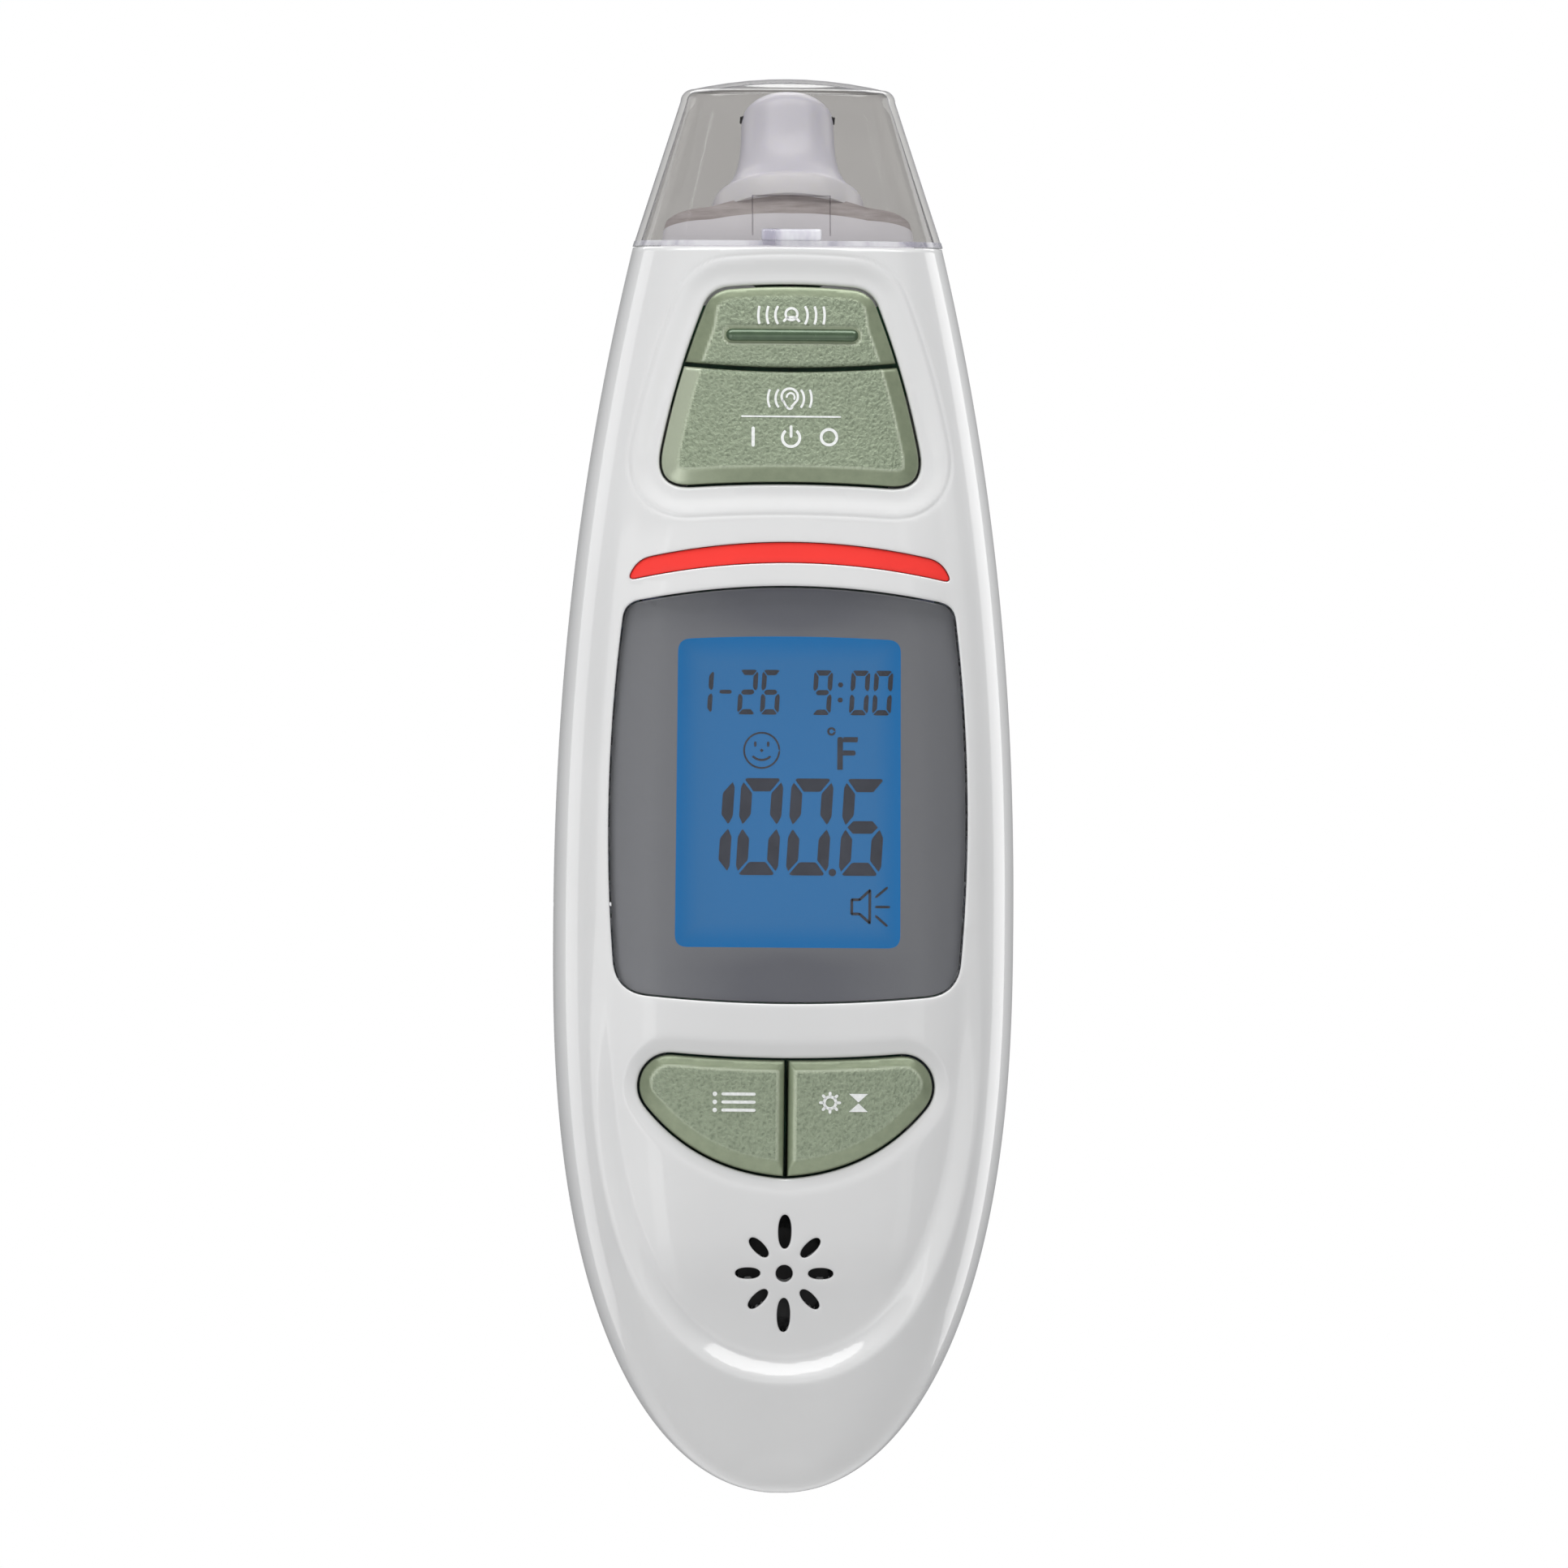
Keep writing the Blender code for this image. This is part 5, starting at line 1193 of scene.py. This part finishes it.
def cap_skin(inset, top_drop):
    """Rings of the cap's skin from its foot to its top, moved inwards by inset."""
    rings, count = [], 120
    for z in np.linspace(CAP_FOOT, CAP_ROUND_Z, 13):
        half_x, half_y, y = cap_section(z)
        rings.append(ring_at(z, half_x - inset, half_y - inset, y, count, CAP_POWER))
    half_x, half_y, y = CAP_TOP
    radius = CAP_ROUND - inset * 0.3
    for a in np.linspace(0, math.pi / 2, 9)[1:-1]:
        shrink = radius * (1 - math.cos(a)) + inset
        z = CAP_ROUND_Z + radius * math.sin(a)
        rings.append(ring_at(z, half_x - shrink, half_y - shrink, y, count, CAP_POWER))
    top, dome = CAP_ROUND_Z + radius - top_drop, CAP_APEX - CAP_ROUND_Z - CAP_ROUND
    edge_x, edge_y = half_x - radius - inset, half_y - radius - inset
    for share in (1.0, 0.85, 0.65, 0.42, 0.2, 0.03):
        z, power = top + dome * (1 - share**2), CAP_POWER - 0.6 * (1 - share)
        rings.append(ring_at(z, edge_x * share, edge_y * share, y, count, power))
    return rings


def build_cap():
    skin = loft(cap_skin(0.65, 0.15)[::-1] + cap_skin(0.0, 0.0))
    cap = from_bmesh("cap_clear", skin, "cap", 40)
    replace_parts(paint(cap, MATERIALS["clear"]), "probe_cap")

    def face(x, z, proud):
        """y of the cap's front, less the height by which a piece stands proud of it."""
        half_x, half_y, y = cap_section(z)
        bulge = (1 - np.clip(np.abs(x) / half_x, 0, 1) ** CAP_POWER) ** (1 / CAP_POWER)
        return y - half_y * bulge - proud

    tab = box_outline(-3.2, 132.3, 3.2, 133.6, 0.3, 0.15)
    obj = plate_object("cap_tab", [tab], lambda x, z: face(x, z, 0.5), 0.4, 0.46, "cap", edge=0.25)
    paint(obj, CLEAR_TAB)
    strokes = ((-4.1, 132.9, -4.1, 137.1), (-4.1, 137.1, 4.1, 137.1), (4.1, 137.1, 4.1, 132.9))
    line = [resampled(bar(*stroke, 0.16), 0.15) for stroke in strokes]
    obj = plate_object("cap_catch_line", line, lambda x, z: face(x, z, 0.05), 0.5, 0.045, "cap")
    paint(obj, CLEAR_LINE)
    inner, outer = [], []
    for z in (CAP_FOOT, CAP_FOOT + 0.55):
        centre = Vector((0, cap_section(z)[2], z))
        ring = ring_at(z, *cap_section(z), 160, CAP_POWER)
        inner.append([p.lerp(centre, 0.075) for p in ring])
        outer.append([p + (p - centre).normalized() * 0.06 for p in ring])
    foot = loft([outer[0], outer[1], inner[1], inner[0], outer[0]], False, False)
    bmesh.ops.remove_doubles(foot, verts=foot.verts, dist=0.0005)
    bmesh.ops.recalc_face_normals(foot, faces=foot.faces)
    paint(from_bmesh("cap_foot", foot, "cap"), CLEAR_TAB)


def collar_wall(share, count):
    """Ring of the collar; share 0 at its foot, 1 at its tilted edge."""
    foot_z, half_width, half_depth, middle = 129.3, 13.5, 9.1, 1.8
    heights = (foot_z, 132.4, 140.0)
    ring = []
    for x, y in oval(half_width, half_depth, middle, count, 2.05 - 0.6 * share):
        deck = PROBE_BASE.z - COLLAR_DROP - (y - PROBE_BASE.y) * math.tan(PROBE_TILT)
        deck = deck + 0.8 * ease((abs(x) - COLLAR_SHOULDER) / 4.5)
        z = foot_z + (deck - foot_z) * share
        half_x = np.interp(z, heights, (half_width, half_width, 11.2))
        front, rear = np.interp(z, heights, (-7.6, -7.4, -4.9)), np.interp(z, heights, (10.9, 10.9, 10.4))
        across = (y - middle) / half_depth * (rear - front) / 2 + (rear + front) / 2
        ring.append(Vector((x / half_width * half_x, across, z)))
    return ring


def build_probe():
    count = 120
    rings = [collar_wall(share, count) for share in (0.0, 0.4, 0.8, 0.93, 0.97, 0.99)]
    edge = collar_wall(1.0, count)
    centre = PROBE_BASE - Vector((0, 0, COLLAR_DROP))
    for inset, down in ((0.02, 0.06), (0.05, 0.0), (0.5, 0.0)):
        rings.append([p.lerp(centre, inset) - Vector((0, 0, down)) for p in edge])
    bore = []
    for point in edge:
        a = math.atan2(point.y - centre.y, point.x)
        along = Vector((math.cos(a), math.sin(a) * math.cos(PROBE_TILT), -math.sin(a) * math.sin(PROBE_TILT)))
        bore.append(centre + along * 5.8)
    rings.append(bore)
    obj = from_bmesh("collar", loft(rings, True, False), angle=40)
    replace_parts(paint(obj, collar_material()), "probe_base")
    skirt = [(8.0, 0.0), (8.05, 0.2), (8.05, 2.0), (7.98, 2.3), (7.8, 2.6), (7.55, 2.74)]
    bell = smooth_profile([
        (7.55, 2.74), (7.0, 3.1), (6.35, 4.1), (5.85, 5.0), (5.42, 6.2), (5.12, 7.6), (4.98, 8.9),
        (4.9, 10.6), (4.82, 12.0), (4.6, 12.75), (4.05, 13.45), (3.4, 13.93), (2.85, 14.12), (2.55, 14.0),
    ])
    inside = [(2.5, 13.4), (2.5, 1.8), (5.2, 0.3), (5.2, 0.0)]
    obj = turned("probe_milky", skirt + bell[1:] + inside, PROBE_BASE, PROBE_TILT, steps=96)
    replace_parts(paint(obj, MATERIALS["probe"]), "ear_probe")
    half = Vector((0.22, 0.7, 0.12))
    for side, tag in ((-1, "left"), (1, "right")):
        slit = rounded_box(f"probe_slit_{tag}", -half, half, "body", 0.05)
        turn = Matrix.Rotation(-PROBE_TILT, 4, "X") @ Matrix.Translation((side * 4.80, -0.4, 12.0))
        place = Matrix.Translation(PROBE_BASE) @ turn @ Matrix.Rotation(side * 0.35, 4, "Y")
        place.translation *= M
        slit.data.transform(place)
        paint(slit, MATERIALS["black_part"])


# ------------------------------------------------------------ power
def build_power():
    sleeve = [
        (0.0, 0.0), (4.2, 0.0), (4.4, 0.12), (4.9, 0.12), (5.1, 0.25), (5.24, 0.5), (5.24, 42.6),
        (5.1, 42.95), (4.7, 43.1), (4.5, 42.95), (2.6, 42.95), (2.0, 43.1), (1.9, 43.3), (1.9, 44.3),
        (1.7, 44.5), (0.0, 44.5),
    ]
    nub = [
        (0.0, 44.52), (1.72, 44.52), (1.92, 44.3), (1.93, 43.25), (2.6, 43.0), (4.45, 43.0), (4.4, 43.06),
        (2.6, 43.06), (2.02, 43.3), (2.0, 44.35), (1.75, 44.6), (0.0, 44.6),
    ]
    for node, x, flat_end, tilt in (("battery_left", -CELL_X, 17.3, 0.0),
                                    ("battery_right", CELL_X, 57.4, math.pi)):
        place = (x, CELL_Y, flat_end)
        obj = turned(node + "_cell", sleeve, place, tilt, steps=64, closed=False)
        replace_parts(paint(obj, MATERIALS["cell"]), node)
        obj = turned(node + "_nub", nub, place, tilt, steps=48, closed=False)
        paint(obj, MATERIALS["steel"])
    for node, x, start, end in (("battery_spring_left", -CELL_X, 13.05, 16.9),
                                ("battery_spring_right", CELL_X, 61.8, 57.8)):
        points = []
        for t in np.linspace(0, 1, 150):
            radius, angle, z = 3.2 - 1.4 * t, 2 * math.pi * 3.5 * t, start + (end - start) * t
            points.append((x + radius * math.cos(angle), CELL_Y + radius * math.sin(angle), z))
        obj = tube(node + "_coil", points, 0.22)
        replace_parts(paint(obj, MATERIALS["steel"]), node)


def build_screws():
    profile = [(0.0, -0.75), (0.45, -0.75), (0.55, -0.1), (0.9, 0.0), (1.5, -0.12), (1.85, -0.45),
               (1.88, -1.2), (1.0, -1.3), (1.0, -8.0), (0.0, -8.2)]
    for x, z, y, node in ((HIGH_SCREW_X, HIGH_SCREW_Z, 6.4, "upper"),
                          (LOW_SCREW_X, LOW_SCREW_Z, 4.65, "lower")):
        for side, tag in ((-1, "left"), (1, "right")):
            obj = turned(f"{node}_screw_{tag}_fine", profile, (side * x, y, z), BACKWARD,
                         closed=False, steps=40)
            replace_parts(paint(obj, MATERIALS["steel"]), f"{node}_screw_{tag}")


# ------------------------------------------------------------ stage
MIDDLE = Vector((0, 0, 0.0750))  # what the camera and the lights point at
FRAME_HEIGHT = 0.1659  # height of the picture at the object's axis
CAMERA_TURN, CAMERA_ROLL = math.radians(-2), math.radians(-0.45)


def build_stage():
    bm = bmesh.new()
    bmesh.ops.create_circle(bm, cap_ends=True, radius=0.5, segments=96)
    mesh = bpy.data.meshes.new("floor")
    bm.to_mesh(mesh)
    bm.free()
    floor = bpy.data.objects.new("floor", mesh)
    floor.location = (0, 0, -0.078)
    bpy.context.scene.collection.objects.link(floor)
    n = Nodes("floor_pale")
    scaled = n.out("ShaderNodeMapping", "Vector", {"Vector": n.place, "Scale": (3.2, 3.2, 3.2)})
    fade = n.out("ShaderNodeTexGradient", "Fac", {"Vector": scaled}, gradient_type="SPHERICAL")
    pale = n.ramp(n.noise(8, 3.0), (0.3, (0.80, 0.80, 0.80)), (0.7, (0.83, 0.83, 0.83)))
    bounced = n.mixed(n.light("Is Diffuse Ray"), pale, (0.30, 0.30, 0.30))
    n.set(Base_Color=bounced, Roughness=0.8, Alpha=n.spread(fade, 0.0, 1.6))
    floor.data.materials.append(n.material)
    floor.visible_shadow = False
    world = bpy.data.worlds.new("studio")
    bpy.context.scene.world = world
    world.use_nodes = True
    tree = world.node_tree
    tree.nodes.clear()
    out = tree.nodes.new("ShaderNodeOutputWorld")
    seen, lit = tree.nodes.new("ShaderNodeBackground"), tree.nodes.new("ShaderNodeBackground")
    seen.inputs["Color"].default_value = (1, 1, 1, 1)
    lit.inputs["Color"].default_value = (0.97, 0.98, 1.0, 1)
    lit.inputs["Strength"].default_value = 0.30
    ray, mix = tree.nodes.new("ShaderNodeLightPath"), tree.nodes.new("ShaderNodeMixShader")
    through = tree.nodes.new("ShaderNodeMath")
    through.operation = "MAXIMUM"
    tree.links.new(ray.outputs["Is Camera Ray"], through.inputs[0])
    tree.links.new(ray.outputs["Is Transmission Ray"], through.inputs[1])
    tree.links.new(through.outputs[0], mix.inputs["Fac"])
    tree.links.new(lit.outputs["Background"], mix.inputs[1])
    tree.links.new(seen.outputs["Background"], mix.inputs[2])
    tree.links.new(mix.outputs["Shader"], out.inputs["Surface"])
    # name, place, size, radiance
    lights = [
        ("top_box", (0.0, -0.30, 1.25), (2.10, 0.55), 5.45),
        ("front_box", (0.0, -1.50, -0.15), (1.80, 1.40), 0.92),
        ("left_box", (-0.54, -0.60, -0.12), (0.52, 0.90), 1.70),
        ("right_box", (0.54, -0.60, 0.06), (0.52, 0.90), 0.50),
        ("left_rim", (-0.70, 0.38, 0.08), (0.40, 0.80), 1.5),
        ("right_rim", (0.70, 0.38, 0.08), (0.40, 0.80), 2.4),
        ("back_box", (0.0, 0.75, 0.75), (0.90, 0.50), 3.0),
    ]
    for name, place, size, radiance in lights:
        data = bpy.data.lights.new(name, "AREA")
        data.shape, data.size, data.size_y = "RECTANGLE", *size
        data.energy = radiance * math.pi * size[0] * size[1]
        lamp = bpy.data.objects.new(name, data)
        lamp.location = place
        lamp.rotation_euler = (MIDDLE - Vector(place)).to_track_quat("-Z", "Y").to_euler()
        bpy.context.scene.collection.objects.link(lamp)
    camera = bpy.data.objects.new("camera", bpy.data.cameras.new("camera"))
    camera.data.lens, camera.data.sensor_width = 800, 36
    distance = FRAME_HEIGHT * camera.data.lens / camera.data.sensor_width
    way = Vector((math.sin(CAMERA_TURN), -math.cos(CAMERA_TURN), 0))
    camera.location = MIDDLE + way * distance
    camera.rotation_euler = (math.radians(90), CAMERA_ROLL, CAMERA_TURN)
    camera.data.clip_start, camera.data.clip_end = 0.01, 20
    bpy.context.scene.collection.objects.link(camera)
    bpy.context.scene.camera = camera
    bpy.context.scene.view_settings.view_transform = "Standard"


build_housings()
build_lip()
build_inner_housing()
build_keys()
build_pictograms()
build_display()
build_light_bar()
build_cap()
build_probe()
build_power()
build_screws()
build_stage()

SLOTS = {s["node"]: s["material_slot"] for s in frame["record"]["subparts"]}
for node, obj in frame["nodes"].items():
    obj.data.materials.clear()
    obj.data.materials.append(MATERIALS[SLOTS[node]])
